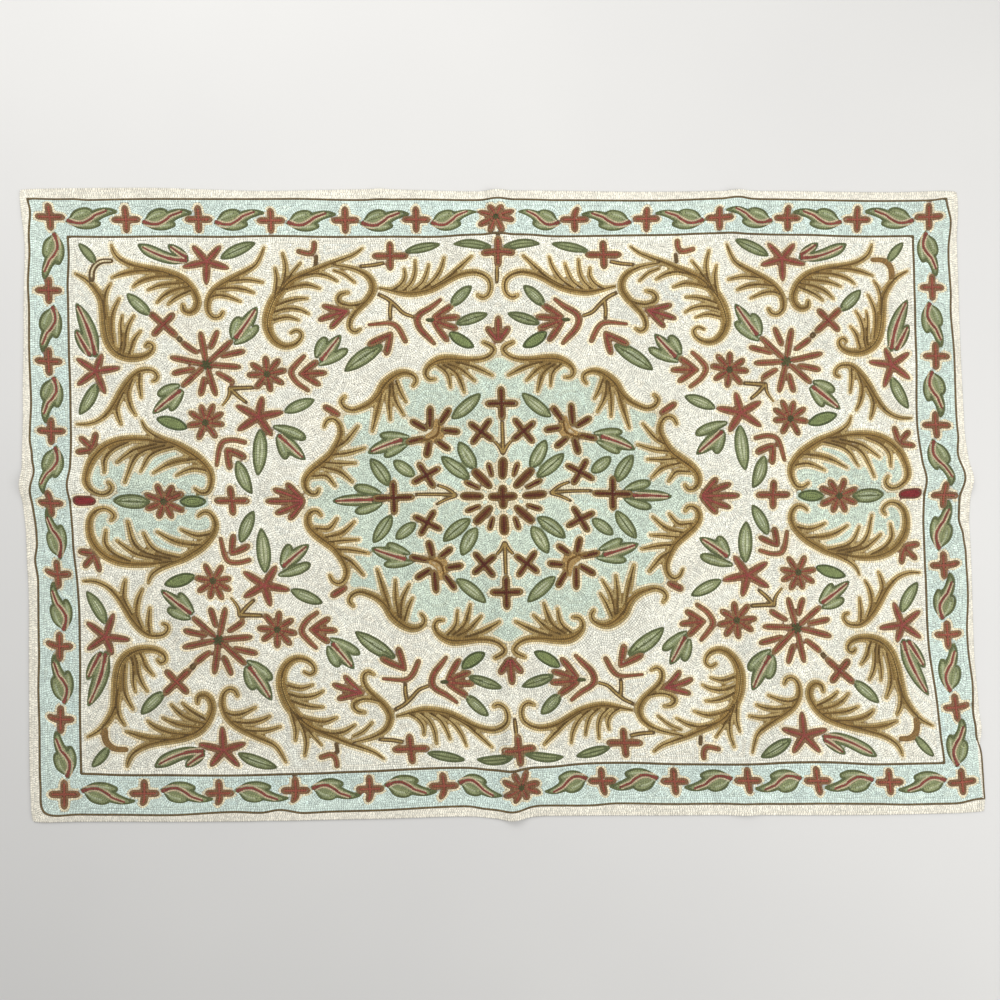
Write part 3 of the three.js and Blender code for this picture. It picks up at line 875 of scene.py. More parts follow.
def downMiddle(loop):
    # the line down the middle of a thin loop, and how far the loop stands from it
    run = alongPath(np.vstack([loop, loop[:1]]))
    half = max(2, int(run[-1] / chartStep))
    at = np.linspace(0, run[-1], 2 * half, endpoint=False)
    even = np.stack([np.interp(at, run, np.r_[loop[:, i], loop[0, i]]) for i in (0, 1)], 1)
    start = np.argmax(np.hypot(*(even - np.roll(even, -half, 0)).T))
    even = np.roll(even, -start, 0)
    there, back = even[:half + 1], np.vstack([even[:1], even[:half - 1:-1]])
    return (there + back) / 2, np.hypot(*(there - back).T) / 2


def addLoop(piece, depth, level, loop, yarnAt, times):
    # a closed row along a level line, made so wide that it meets the row beside it
    length = alongPath(np.vstack([loop, loop[:1]]))[-1]
    if length < shortestRow:
        return
    x, y = loop.T
    area = abs(np.sum(x * np.roll(y, -1) - y * np.roll(x, -1))) / 2
    if 2 * area / length < thinLoop:
        line, apart = downMiddle(loop)
        if apart.max() < thinLoop:
            ends = [line[0] * 1.5 - line[1] * 0.5, line[-1] * 1.5 - line[-2] * 0.5]
            line, apart = np.vstack([ends[0], line, ends[1]]), np.r_[apart[0], apart, apart[-1]]
            addRow(piece, line, yarnAt(line), closed=False, left=rowWidth / 2 + apart,
                   right=rowWidth / 2 + apart)
            return
    loop = softened(loop, times)
    ahead = between(depth, loop + leftOf(loop) * rowWidth)
    # rows that meet in the middle of a shape share what is left there
    room = (ahead - level + rowWidth) / 2
    left = np.where(room > 0.98 * rowWidth, rowWidth / 2, np.clip(room, 0.05, rowWidth))
    addRow(piece, loop, yarnAt(loop), left=softened(left, softening["widths"]))


def walled(depth):
    # below 0 round the edge of the grid, so that every level line closes
    depth[[0, -1], :] = -1
    depth[:, [0, -1]] = -1
    return depth


covered = distance["lines"].copy()
for name in layerNames[1:]:
    depth = walled(np.minimum(-distance[name], covered))
    for number in range(rowsAcross[name]):
        level = (number + 0.5) * rowWidth
        for loop in levelLines(depth, level):
            addLoop(pieceOfLayer[name], depth, level, loop,
                    lambda points: dyeNumbers[lookUp(nearestKind[name], points), min(number, 2)],
                    softening["shapes"])
    covered = np.minimum(covered, distance[name])
print("rows of the shapes done")

# Halo rows go round the flowers and scrolls, and plain rows fill what is left
warm = np.minimum(np.minimum(distance["petals"], distance["scrolls"]),
                  np.minimum(distance["stems"], distance["centres"]))
others = np.minimum(distance["leaves"], distance["lines"])
grounds = {
    "border_ground_rows": (np.where(insideOuter & ~insideInner, covered, -1), "border aqua", "aqua halo"),
    "panel_ground_rows": (np.where(insideAqua, np.minimum(covered, aquaEdge), -1), "panel aqua", "aqua halo"),
    "field_ground_rows": (np.where(insideInner & ~insideAqua, np.minimum(covered, aquaEdge), -1),
                          "cream", "cream halo"),
}
for piece, (depth, plain, halo) in grounds.items():
    depth = walled(depth.astype(np.float32))
    number = 0
    while (number + 0.5) * rowWidth < depth.max():
        level = (number + 0.5) * rowWidth
        for loop in levelLines(depth, level):
            addLoop(piece, depth, level, loop,
                    lambda points: np.where((number == 0) & (lookUp(warm, points) < lookUp(others, points)),
                                            yarnList.index(halo), yarnList.index(plain)),
                    softening["ground"])
        number += 1
print("ground rows done")

# Rows along the spines of petals, leaves and scrolls lie a little higher, and veins have a pale row beside
spineTrim = {"petals": 0.15, "leaves": 0.5, "scrolls": 0.1, "stems": 0.1, "veins": 0}  # before the tip
spineHalf = {"petals": 0.17, "leaves": 0.2, "scrolls": 0.17, "stems": 0.2, "veins": 0.2}
spineRaised = 0.25  # millimetres
vein = {
    "root": 0.4,  # half width
    "tip": 0.16,
    "beside": 0.14,  # half width of the pale rows
    "raised": 0.5,  # millimetres
    "besideRaised": 0.2,
}
for s in strokes:
    if not s["spine"]:
        continue
    run = alongPath(s["points"])
    points = s["points"][run <= run[-1] - spineTrim[s["layer"]]]
    if len(points) < 3:
        continue
    yarn = dyeNumbers[kindNames.index(s["kind"]), 3]
    piece, half, raised = pieceOfLayer[s["layer"]], spineHalf[s["layer"]], spineRaised
    if s["kind"] == "vein":
        half, raised = np.linspace(vein["root"], vein["tip"], len(points)), vein["raised"]
        way = np.gradient(points, axis=0)
        way /= np.hypot(*way.T)[:, None]
        for side in (-1, 1):
            beside = points + np.stack([-way[:, 1], way[:, 0]], 1) * side * (half + vein["beside"])[:, None]
            addRow(piece, beside[1:-1], yarnList.index("vein side"), closed=False,
                   raised=vein["besideRaised"], left=vein["beside"], right=vein["beside"])
    addRow(piece, points, yarn, closed=False, raised=raised, left=half, right=half)

# From the flat pattern to the cloth
# Nine places of the pattern as they lie on the rug, in millimetres, back row to front, left to right.
patternReach = (84.8, 55.9)  # where the outermost of them are on the chart
patternPlaces = [
    [(-881, 561), (-9, 561), (829, 565)],
    [(-860, 9.5), (4.5, 9.5), (856, 21)],
    [(-848, -561), (39.5, -549), (894, -535)],
]
# How far the pattern wanders outwards along each side, as the edge waves do
patternWaves = {
    "back": [(0.03, -1), (0.13, 2), (0.26, -1.5), (0.38, 0), (0.48, -4), (0.54, -3), (0.66, -3.5),
             (0.75, -0.5), (0.82, -1.5), (0.95, -4.5)],
    "front": [(0.035, 2.5), (0.12, 3.5), (0.28, 5), (0.36, 4), (0.46, -1), (0.5, 5), (0.54, -2), (0.6, -3),
              (0.7, -0.5), (0.83, 3.5), (0.9, 6), (0.975, 4.5)],
    "left": [(0.05, -8), (0.09, -9), (0.16, -1.5), (0.27, 2.5), (0.38, 2), (0.47, 7), (0.55, -2),
             (0.62, -6.5), (0.72, -3.5), (0.84, -2), (0.95, -1.5)],
    "right": [(0.04, -2), (0.09, -7), (0.16, -9), (0.26, -6), (0.37, -12.5), (0.46, -1.5), (0.54, -9),
              (0.6, -11), (0.715, -15), (0.83, -6), (0.92, -4)],
}
# Each quarter was drawn by hand, so its motifs lie some millimetres off: place on the chart, then how far
nudges = chart("x y right back", """
    -84.8 55.7 -1.6 -0.6
    -70.6 55.2 0 -2.6
    -56.9 55.2 0 -1.3
    -43.3 54.9 1 1.6
    -29.1 55.1 0 -1
    -15.6 55.2 0 -0.5
    -0.3 55 0.6 8
    15.6 55.2 -9 0.3
    29.1 55.1 -2.3 3.2
    43.3 54.9 -1 4.8
    56.9 55.2 -4.5 0
    70.6 55.2 -2.3 -2.6
    84.8 55.7 0 -1.6
    -20.7 48 1.3 -1
    0.1 48.2 0 4.2
    20.7 48 -0.3 2.9
    -55.5 46.9 -0.6 -2
    55.5 46.9 0.6 2.3
    -85.3 41 0.6 0
    -63.9 34.3 1 0
    0 33 -1 -1.5
    63.9 34.3 5.2 5.5
    85.3 41 1 2.6
    -85.4 27.2 0.6 -2
    -76.9 25.5 3.2 -4.2
    -56.1 26.5 3.5 0
    -44.7 24.7 3.2 -1
    44.7 24.7 -1.6 4.5
    56.1 26.5 -4.8 1.6
    76.9 25.5 -5.2 2.9
    85.4 27.2 -2.6 2.6
    -85.4 13.5 -0.6 -1.3
    -56.5 15 1.6 1.8
    -46.7 15.9 4.8 6.1
    46.7 15.9 -1.3 9
    56.5 15 -2.6 4
    85.4 13.5 -3.9 2.3
    0 19 2.6 0
    -4.1 13.6 2.3 -2.3
    4.1 13.6 3.5 -1.6
    -13.7 13.6 4 -2.6
    13.7 13.6 -2.9 2.9
    -14.9 4.9 3.2 0
    14.9 4.9 0 4.8
    -85.5 -0.4 -2 -2.3
    -64.8 0.2 3.5 -4.2
    -51.8 0.3 1.3 -2.9
    -38.1 0.3 -1.7 -3
    -21.2 0.6 2.6 -2.3
    0 0.5 -2 1.6
    21.2 0.6 -4.2 2.9
    51.8 0.3 0 2.3
    64.8 0.2 -1.6 -1.3
    85.5 -0.4 -4.8 3.9
    -78 -7 -10 -1
    78 -7 -6 0
    -14.9 -4.9 -0.6 8.4
    14.9 -4.9 -3.5 13.5
    -13.7 -13.6 0 6.8
    -4.1 -13.6 -3.2 11.6
    4.1 -13.6 -1.6 12.3
    13.7 -13.6 -10.6 12
    0 -19 -7 11.6
    0 -33 -5.5 5.7
    -85.4 -13.5 -2 -9.3
    -56.5 -15 3.9 -5.2
    -46.7 -15.9 1.9 -4.5
    46.7 -15.9 -4.2 9
    56.5 -15 -3.2 1.2
    85.4 -13.5 -4.8 -6
    -85.4 -27.2 1 -8.7
    -76.9 -25.5 1.6 -6.1
    -56.1 -26.5 7.7 -1.9
    -44.7 -24.7 4.5 0
    44.7 -24.7 -12.9 7.4
    56.1 -26.5 -9 10.6
    76.9 -25.5 -8 2.9
    85.4 -27.2 -2.9 -4.2
    -85.3 -41 -0.6 -8.1
    -63.9 -34.3 3.2 -4.5
    63.9 -34.3 -9 1.9
    85.3 -41 -2.6 -6.1
    -55.5 -46.9 1 -8.4
    55.5 -46.9 -9 7.1
    -20.7 -48 1.3 1.6
    0.1 -48.2 -3.5 2
    20.7 -48 -7.7 6
    -84.8 -55.7 -0.6 0.6
    -70.6 -55.2 4.8 -4.5
    -56.9 -55.2 7 -4.5
    -43.3 -54.9 11.6 -4.2
    -29.1 -55.1 7 -2.3
    -15.6 -55.2 12.3 0
    -0.3 -55 4.8 -7
    15.6 -55.2 -3.2 2.9
    29.1 -55.1 0 0
    43.3 -54.9 -1 -1
    56.9 -55.2 -1.6 0
    70.6 -55.2 1 -2.3
    84.8 -55.7 1.3 -2.6
""")
nudgeTable = np.array([[n["x"], n["y"], n["right"] / 1000, n["back"] / 1000] for n in nudges])
nudging = {
    "reach": 7.0,  # centimetres from each place
    "rest": 0.05,  # the weight of staying in place, so that shifts die away far from all of them
    "border": (88.5, 58.6),  # the outer line keeps its own place, so nothing is shifted from here on
    "fade": 3,  # centimetres over which the shift dies away before that
    "block": 20000,  # points that are worked out at a time
}


def nudged(points):
    shift = np.zeros((len(points), 2))
    for start in range(0, len(points), nudging["block"]):
        block = points[start:start + nudging["block"]]
        away = np.hypot(block[:, :1] - nudgeTable[:, 0], block[:, 1:2] - nudgeTable[:, 1])
        weight = np.exp(-(away / nudging["reach"]) ** 2)
        total = weight.sum(1, keepdims=True) + nudging["rest"]
        shift[start:start + nudging["block"]] = weight @ nudgeTable[:, 2:] / total
    fadeX, fadeY = (eased((nudging["border"][i] - np.abs(points[:, i])) / nudging["fade"]) for i in (0, 1))
    return shift * (fadeX * fadeY)[:, None]


def quadratic(t):
    # the shares of three even places in a curve through all of them
    return t * (t - 1) / 2, 1 - t * t, t * (t + 1) / 2


def onCloth(points):
    # where places of the chart lie on the rug
    across, down = quadratic(points[:, 0] / patternReach[0]), quadratic(-points[:, 1] / patternReach[1])
    x, y = 0, 0
    for row, weight in zip(patternPlaces, down):
        for (px, py), share in zip(row, across):
            x = x + weight * share * px / 1000
            y = y + weight * share * py / 1000
    pullX, pullY = edgePull(patternWaves, 0.5 + x / cloth["length"], 0.5 - y / cloth["width"])
    return np.stack([x + pullX, y + pullY], 1) + nudged(points[:, :2])


# The hem: plain rows between the outer line and the edge of the cloth
hem = {
    "rows": 6,
    "gap": 0.15,  # between the outer line and the first row, in widths of a row
    "half": 0.0024,
}
borderRow = {"half": 0.0026, "raised": 0.3}
edgeLoop = []
for a, b, outwards, count in sides.values():
    corner = np.array(a) + (np.array(b) - a) * (np.arange(count) / count)[:, None]
    edgeLoop.append(np.stack(placeOf((corner[:, 0] + 1) / 2, (1 - corner[:, 1]) / 2), 1) - boxMiddle)
edgeLoop = np.vstack(edgeLoop)
lineLoop, innerLoop = onCloth(lineLoops["outer"]), onCloth(lineLoops["inner"])
placedRows = {"hem_rows": [], "line_rows": []}


def addPlaced(piece, points, yarn, raised, half):
    # a closed row of even width that is already in its place on the rug
    placedRows[piece].append(dict(points=points, closed=True, raised=raised, left=np.full(len(points), half),
                                  right=np.full(len(points), half), yarn=np.full(len(points), yarn)))


for number in range(hem["rows"]):
    share = (number + hem["gap"] + 0.5) / (hem["rows"] + hem["gap"])
    addPlaced("hem_rows", lineLoop + (edgeLoop - lineLoop) * share, yarnList.index("hem"), 0, hem["half"])
for loop in (lineLoop, innerLoop):
    addPlaced("line_rows", loop, yarnList.index("line"), borderRow["raised"], borderRow["half"])
for piece, rows in rowsOf.items():
    for row in rows:
        placedRows.setdefault(piece, []).append({
            **row, "points": onCloth(row["points"]), "left": row["left"] / 100, "right": row["right"] / 100})

# Ribbons
# Each row of chain stitch is a low rounded ribbon whose sections stand closer together where it bends.
ribbon = {
    "step": 0.0066,  # between its sections on the straight
    "bendStep": 1.3,  # a larger number is closer sections in bends
    "sharp": 1.9,  # a corner that turns further than this, in radians, starts a new row
    "shoulder": 0.47,  # share of the half width
    "crown": 0.00105,
    "fullWidth": 0.0036,  # narrower places are lower
    "lowest": 0.3,  # share of the crown's height
    "cornerReach": 0.9,  # how far the ends of rows reach towards a corner, as a share of a step
    "sunk": 0.0002,  # how far its edges lie under the top of the cloth
    "uneven": 0.0001,  # how far the height differs from row to row
    "pitch": 0.0043,  # of one chain stitch, drawn a little longer than the real one so that it shows
    "spread": 0.2,  # how far the length of a stitch differs from one to the next, as a share
    "lengths": (0.6, 1.4),  # the shortest and the longest
    "starts": 500,  # a row's count of stitches starts anywhere up to this
    "shades": 0.03,  # how far the dye differs from row to row
    "warmth": 0.01,
}
dice = np.random.default_rng(7)


def cutAtCorners(values, closed):
    # the parts of a row between its sharp corners, each with how much it bends from place to place
    looped = np.vstack([values, values[:1]]) if closed else values
    edges = np.diff(looped[:, :2], axis=0)
    heading = np.unwrap(np.arctan2(edges[:, 1], edges[:, 0]))
    if closed:
        around = heading[-1] + np.angle(np.exp(1j * (heading[0] - heading[-1]))) - heading[0]
        longer = np.r_[heading[-2:] - around, heading, heading[:2] + around]
        bend = np.abs(longer[3:] - longer[:-3])[:len(values)]
    else:
        longer = np.r_[heading[:1], heading[:1], heading, heading[-1:], heading[-1:]]
        bend = np.abs(longer[3:] - longer[:-3])[:len(values)]
        bend = np.r_[bend, np.zeros(len(values) - len(bend))]
    corners = [i for i in np.nonzero(bend > ribbon["sharp"])[0]
               if bend[i] >= np.take(bend, range(i - 3, i + 4), mode="wrap").max()]
    corners = [i for k, i in enumerate(corners) if k == 0 or i - corners[k - 1] > 3]
    if not corners:
        return [(looped, np.r_[bend, bend[:1]] if closed else bend, closed)]
    if closed:
        values, bend = np.roll(values, -corners[0], 0), np.roll(bend, -corners[0])
        values, bend = np.vstack([values, values[:1]]), np.r_[bend, bend[:1]]
        corners = [i - corners[0] for i in corners] + [len(values) - 1]
    else:
        corners = [0, *[i for i in corners if 1 < i < len(values) - 2], len(values) - 1]
    parts = [(values[i + 1:j], bend[i + 1:j], False) for i, j in zip(corners, corners[1:]) if j > i + 3]
    for part, _, _ in parts:
        part[0, :2] += (part[0, :2] - part[1, :2]) * ribbon["cornerReach"]
        part[-1, :2] += (part[-1, :2] - part[-2, :2]) * ribbon["cornerReach"]
    return parts


def ribbonParts(row, values, bend, closed):
    # the sections of one ribbon, the faces between them, the yarn of each and its count of stitches
    run = alongPath(values[:, :2])
    slow = np.r_[0, np.cumsum(np.diff(run) * (1 + ribbon["bendStep"] * (bend[1:] + bend[:-1]) / 2))]
    count = max(4 if closed else 2, int(round(slow[-1] / ribbon["step"])) + (0 if closed else 1))
    measure = np.linspace(0, slow[-1], count, endpoint=not closed)
    at = np.interp(measure, slow, run)
    middle = np.stack([np.interp(at, run, values[:, i]) for i in (0, 1)], 1)
    left, right = (np.interp(at, run, values[:, i]) for i in (2, 3))
    dye = values[np.clip(np.searchsorted(run, at), 0, len(values) - 1), 4].astype(int)
    edges = np.roll(middle, -1, 0) - middle
    if not closed:
        edges[-1] = edges[-2]
    length = np.maximum(np.hypot(*edges.T), 1e-9)
    edges = edges / length[:, None]
    before = np.roll(edges, 1, 0)
    if not closed:
        before[0] = edges[0]
    way = edges + before
    way /= np.maximum(np.hypot(*way.T), 0.5)[:, None]
    side = np.stack([-way[:, 1], way[:, 0]], 1)
    turn = before[:, 0] * edges[:, 1] - before[:, 1] * edges[:, 0]
    radius = np.minimum(length, np.roll(length, 1)) / np.maximum(np.abs(turn), 1e-3)
    left = np.where(turn > 0, np.minimum(left, radius), left)
    right = np.where(turn < 0, np.minimum(right, radius), right)
    uneven = dice.uniform(-1, 1) * ribbon["uneven"]
    base = liftAt(middle[:, 0], middle[:, 1]) + cloth["backing"] + row["raised"] / 1000 + uneven
    crown = ribbon["crown"] * np.clip((left + right) / ribbon["fullWidth"], ribbon["lowest"], 1)
    sections = []
    for offset, height in ((left, -ribbon["sunk"]), (left * ribbon["shoulder"], crown),
                           (-right * ribbon["shoulder"], crown), (-right, -ribbon["sunk"])):
        sections.append(np.column_stack([middle + side * offset[:, None], base + height]))
    verts = np.stack(sections, 1).reshape(-1, 3)
    last = count if closed else count - 1
    a = np.arange(last)
    b = (a + 1) % count
    strips = [np.stack([a * 4 + k, a * 4 + k + 1, b * 4 + k + 1, b * 4 + k], 1) for k in range(3)]
    # every row starts its count of stitches anywhere and counts unevenly, so that no two rows shade alike
    counts = np.diff(np.r_[at, run[-1]] if closed else at) / ribbon["pitch"]
    counts = counts * np.clip(dice.normal(1, ribbon["spread"], len(counts)), *ribbon["lengths"])
    return verts, np.concatenate(strips), dye, dice.uniform(0, ribbon["starts"]) + np.r_[0, np.cumsum(counts)]


def ribbonMesh(name, rows):
    # all ribbons of a piece as one mesh, with the yarn's colour, and the stitches in a map of their own
    allVerts, allFaces, allColours, allAlong, allAcross = [], [], [], [], []
    shoulder = ribbon["shoulder"]
    offset = 0
    for row in rows:
        values = np.column_stack([row["points"], row["left"], row["right"], row["yarn"]])
        shade = 1 + dice.normal(0, ribbon["shades"])
        warmth = dice.normal(0, ribbon["warmth"])
        for part in cutAtCorners(values, row["closed"]):
            verts, faces, dye, stitches = ribbonParts(row, *part)
            colour = yarnColours[dye] * shade * (1 + warmth, 1, 1 - warmth)
            allVerts.append(verts)
            allFaces.append(faces + offset)
            allColours.append(np.repeat(np.column_stack([colour, np.ones(len(colour))]), 4, 0))
            start, end = stitches[:-1], stitches[1:]
            for near, far in ((1, shoulder), (shoulder, -shoulder), (-shoulder, -1)):
                allAlong.append(np.stack([start, start, end, end], 1))
                allAcross.append(np.broadcast_to((near, far, far, near), (len(start), 4)))
            offset += len(verts)
    verts, faces = np.vstack(allVerts), np.vstack(allFaces)
    mesh = bpy.data.meshes.new(name)
    mesh.vertices.add(len(verts))
    mesh.vertices.foreach_set("co", verts.astype(np.float32).ravel())
    mesh.loops.add(faces.size)
    mesh.loops.foreach_set("vertex_index", faces.astype(np.int32).ravel())
    mesh.polygons.add(len(faces))
    mesh.polygons.foreach_set("loop_start", np.arange(0, faces.size, 4, dtype=np.int32))
    mesh.update(calc_edges=True)
    yarn = mesh.color_attributes.new("Yarn", "FLOAT_COLOR", "POINT")
    yarn.data.foreach_set("color", np.vstack(allColours).astype(np.float32).ravel())
    boxLow, boxHigh = solidBounds
    flat = mesh.uv_layers.new(name="OFBake")
    corner = verts[faces.ravel()]
    across = (corner[:, :2] - (boxLow.x, boxLow.y)) / (boxHigh.x - boxLow.x, boxHigh.y - boxLow.y)
    flat.data.foreach_set("uv", np.clip(across, 0, 1).astype(np.float32).ravel())
    stitch = mesh.uv_layers.new(name="Stitch")
    uv = np.stack([np.vstack(allAlong).ravel(), np.vstack(allAcross).ravel()], 1)
    stitch.data.foreach_set("uv", uv.astype(np.float32).ravel())
    mesh.polygons.foreach_set("use_smooth", np.ones(len(faces), bool))
    made = bpy.data.objects.new(name, mesh)
    bpy.context.scene.collection.objects.link(made)
    return made


pieceLimit = 190000
trianglesPerStep = 9  # six on the straight, and more in the bends


def splitRows(name, rows):
    # a piece past the triangle limit is split along the rug
    steps = [max(4, alongPath(row["points"])[-1] / ribbon["step"]) for row in rows]
    cost = np.array(steps) * trianglesPerStep
    parts = math.ceil(cost.sum() / pieceLimit)
    order = np.argsort([row["points"][:, 0].mean() for row in rows])
    total = np.cumsum(cost[order]) / cost.sum()
    for part in range(parts):
        chosen = order[(total > part / parts) & (total <= (part + 1) / parts + 1e-9)]
        label = name if parts == 1 else f"{name}_{part + 1}"
        yield label, [rows[i] for i in chosen]


# Materials
def addNode(tree, kind, settings=None, inputs=None):
    # a node with its settings, and a link or a value for each of its inputs
    made = tree.nodes.new(kind)
    for name, value in (settings or {}).items():
        setattr(made, name, value)
    for name, value in (inputs or {}).items():
        if isinstance(value, bpy.types.NodeSocket):
            tree.links.new(value, made.inputs[name])
        else:
            made.inputs[name].default_value = value
    return made


def startMaterial(name):
    material = bpy.data.materials.new(name)
    material.use_nodes = True
    tree = material.node_tree
    tree.nodes.clear()
    return material, tree


woolLook = {
    "paintedGrooveShade": 0.58,  # the painted shade between two rows, where each dips at its edges
    "loopShade": 0.72,  # and the painted shade in the middle of a stitch, between its two strands
    "joinShade": 0.5,  # and the painted shade where one stitch goes down through the next
    "stitchShades": (0.86, 1.2),  # each stitch catches the light in its own way
    "strandApart": 0.58,  # how far each strand swings out from the middle of the row
    "fibreScale": 900.0,  # fibres, drawn thicker than the real ones so that they show
    "skeinScale": 9.0,
    "relief": 0.0006,
}


# Dyed crewel wool worked in chain stitch: matt and fibrous, each stitch a small loop of two strands,
# with the dye a little uneven from skein to skein, and painted shade between the rows, between the strands
# and where the stitches join, with a painted highlight on the strands
def makeWool():
    material, tree = startMaterial("chain stitched wool")
    dye = addNode(tree, "ShaderNodeAttribute", {"attribute_name": "Yarn"})
    along = addNode(tree, "ShaderNodeUVMap", {"uv_map": "Stitch"})
    parts = addNode(tree, "ShaderNodeSeparateXYZ", inputs={0: along.outputs[0]})
    phase = addNode(tree, "ShaderNodeMath", {"operation": "FRACT"}, {0: parts.outputs[0]})
    skew = addNode(tree, "ShaderNodeMath", {"operation": "POWER"}, {0: phase.outputs[0], 1: 0.6})
    turn = addNode(tree, "ShaderNodeMath", {"operation": "MULTIPLY"}, {0: skew.outputs[0], 1: math.pi})
    loop = addNode(tree, "ShaderNodeMath", {"operation": "SINE"}, {0: turn.outputs[0]})
    strand = addNode(tree, "ShaderNodeMath", {"operation": "MULTIPLY"}, {
        0: loop.outputs[0], 1: woolLook["strandApart"]})
    side = addNode(tree, "ShaderNodeMath", {"operation": "ABSOLUTE"}, {0: parts.outputs[1]})
    off = addNode(tree, "ShaderNodeMath", {"operation": "SUBTRACT"}, {
        0: side.outputs[0], 1: strand.outputs[0]})
    gap = addNode(tree, "ShaderNodeMath", {"operation": "ABSOLUTE"}, {0: off.outputs[0]})
    height = addNode(tree, "ShaderNodeMapRange", {"interpolation_type": "SMOOTHSTEP"}, {
        "Value": gap.outputs[0], "From Min": 0.5, "From Max": 0.0, "To Min": 0.0, "To Max": 1.0})
    # painted shade in the pit where one stitch goes down through the next
    paintedJoinShade = addNode(tree, "ShaderNodeMapRange", {"interpolation_type": "SMOOTHSTEP"}, {
        "Value": loop.outputs[0], "From Min": 0.0, "From Max": 0.8,
        "To Min": woolLook["joinShade"], "To Max": 1.0})
    number = addNode(tree, "ShaderNodeMath", {"operation": "FLOOR"}, {0: parts.outputs[0]})
    chance = addNode(tree, "ShaderNodeTexWhiteNoise", {"noise_dimensions": "1D"}, {"W": number.outputs[0]})
    own = addNode(tree, "ShaderNodeMapRange", inputs={
        "Value": chance.outputs["Value"], "To Min": woolLook["stitchShades"][0],
        "To Max": woolLook["stitchShades"][1]})
    stitch = addNode(tree, "ShaderNodeMath", {"operation": "MULTIPLY"}, {
        0: paintedJoinShade.outputs[0], 1: own.outputs[0]})
    place = addNode(tree, "ShaderNodeTexCoord")
    fibres = addNode(tree, "ShaderNodeTexNoise", inputs={
        "Vector": place.outputs["Object"], "Scale": woolLook["fibreScale"], "Detail": 2.0})
    skein = addNode(tree, "ShaderNodeTexNoise", inputs={
        "Vector": place.outputs["Object"], "Scale": woolLook["skeinScale"], "Detail": 4.0})
    tint = addNode(tree, "ShaderNodeMapRange", inputs={
        "Value": skein.outputs["Fac"], "From Min": 0.3, "From Max": 0.7, "To Min": 0.93, "To Max": 1.05})
    fleck = addNode(tree, "ShaderNodeMapRange", inputs={
        "Value": fibres.outputs["Fac"], "From Min": 0.3, "From Max": 0.7, "To Min": 0.9, "To Max": 1.07})
    # painted shade between the two strands of a stitch, and a painted highlight on the strands themselves
    strandShadeAndHighlight = addNode(tree, "ShaderNodeMapRange", inputs={
        "Value": height.outputs["Result"], "From Min": 0.0, "From Max": 1.0, "To Min": woolLook["loopShade"],
        "To Max": 1.16})
    # painted shade towards both edges of a row, where it dips between rows
    paintedGrooveShade = addNode(tree, "ShaderNodeMapRange", {"interpolation_type": "SMOOTHSTEP"}, {
        "Value": side.outputs[0], "From Min": 0.62, "From Max": 0.95, "To Min": 1.0,
        "To Max": woolLook["paintedGrooveShade"]})
    shade = tint
    for darker in (fleck, strandShadeAndHighlight, paintedGrooveShade, stitch):
        shade = addNode(tree, "ShaderNodeMath", {"operation": "MULTIPLY"}, {
            0: shade.outputs[0], 1: darker.outputs[0]})
    colour = addNode(tree, "ShaderNodeVectorMath", {"operation": "SCALE"},
                     {0: dye.outputs["Color"], "Scale": shade.outputs[0]})
    relief = addNode(tree, "ShaderNodeMath", {"operation": "MULTIPLY_ADD"},
                     {0: fibres.outputs["Fac"], 1: 0.35, 2: height.outputs["Result"]})
    bump = addNode(tree, "ShaderNodeBump", inputs={
        "Strength": 0.8, "Distance": woolLook["relief"], "Height": relief.outputs[0]})
    wool = addNode(tree, "ShaderNodeBsdfPrincipled", inputs={
        "Base Color": colour.outputs[0], "Roughness": 0.92, "Sheen Weight": 0.12, "Sheen Roughness": 0.5,
        "Specular IOR Level": 0.2, "Normal": bump.outputs[0]})
    addNode(tree, "ShaderNodeOutputMaterial", inputs={"Surface": wool.outputs[0]})
    return material


# The cloth under the rows: hidden but for the bottoms of the grooves, where loose wool fibres fill them; it
# takes the yarn of the rows over it, drawn darker as painted shade in the grooves
def makeCovered():
    material, tree = startMaterial("cloth under the wool")
    dye = addNode(tree, "ShaderNodeAttribute", {"attribute_name": "Yarn"})
    place = addNode(tree, "ShaderNodeTexCoord")
    fibres = addNode(tree, "ShaderNodeTexNoise", inputs={
        "Vector": place.outputs["Object"], "Scale": woolLook["fibreScale"], "Detail": 2.0})
    fleck = addNode(tree, "ShaderNodeMapRange", inputs={
        "Value": fibres.outputs["Fac"], "From Min": 0.3, "From Max": 0.7, "To Min": 0.75, "To Max": 1.0})
    colour = addNode(tree, "ShaderNodeVectorMath", {"operation": "SCALE"},
                     {0: dye.outputs["Color"], "Scale": fleck.outputs[0]})
    bump = addNode(tree, "ShaderNodeBump", inputs={
        "Strength": 0.7, "Distance": 0.0004, "Height": fibres.outputs["Fac"]})
    shade = addNode(tree, "ShaderNodeBsdfPrincipled", inputs={
        "Base Color": colour.outputs[0], "Roughness": 0.95, "Normal": bump.outputs[0]})
    addNode(tree, "ShaderNodeOutputMaterial", inputs={"Surface": shade.outputs[0]})
    return material


cottonLook = {
    "threadScale": 300.0,  # threads a little over a millimetre apart
    "slubScale": 40.0,  # of the thicker and paler stretches
    "dark": "CFC4AD",
    "light": "DDD3BE",
}


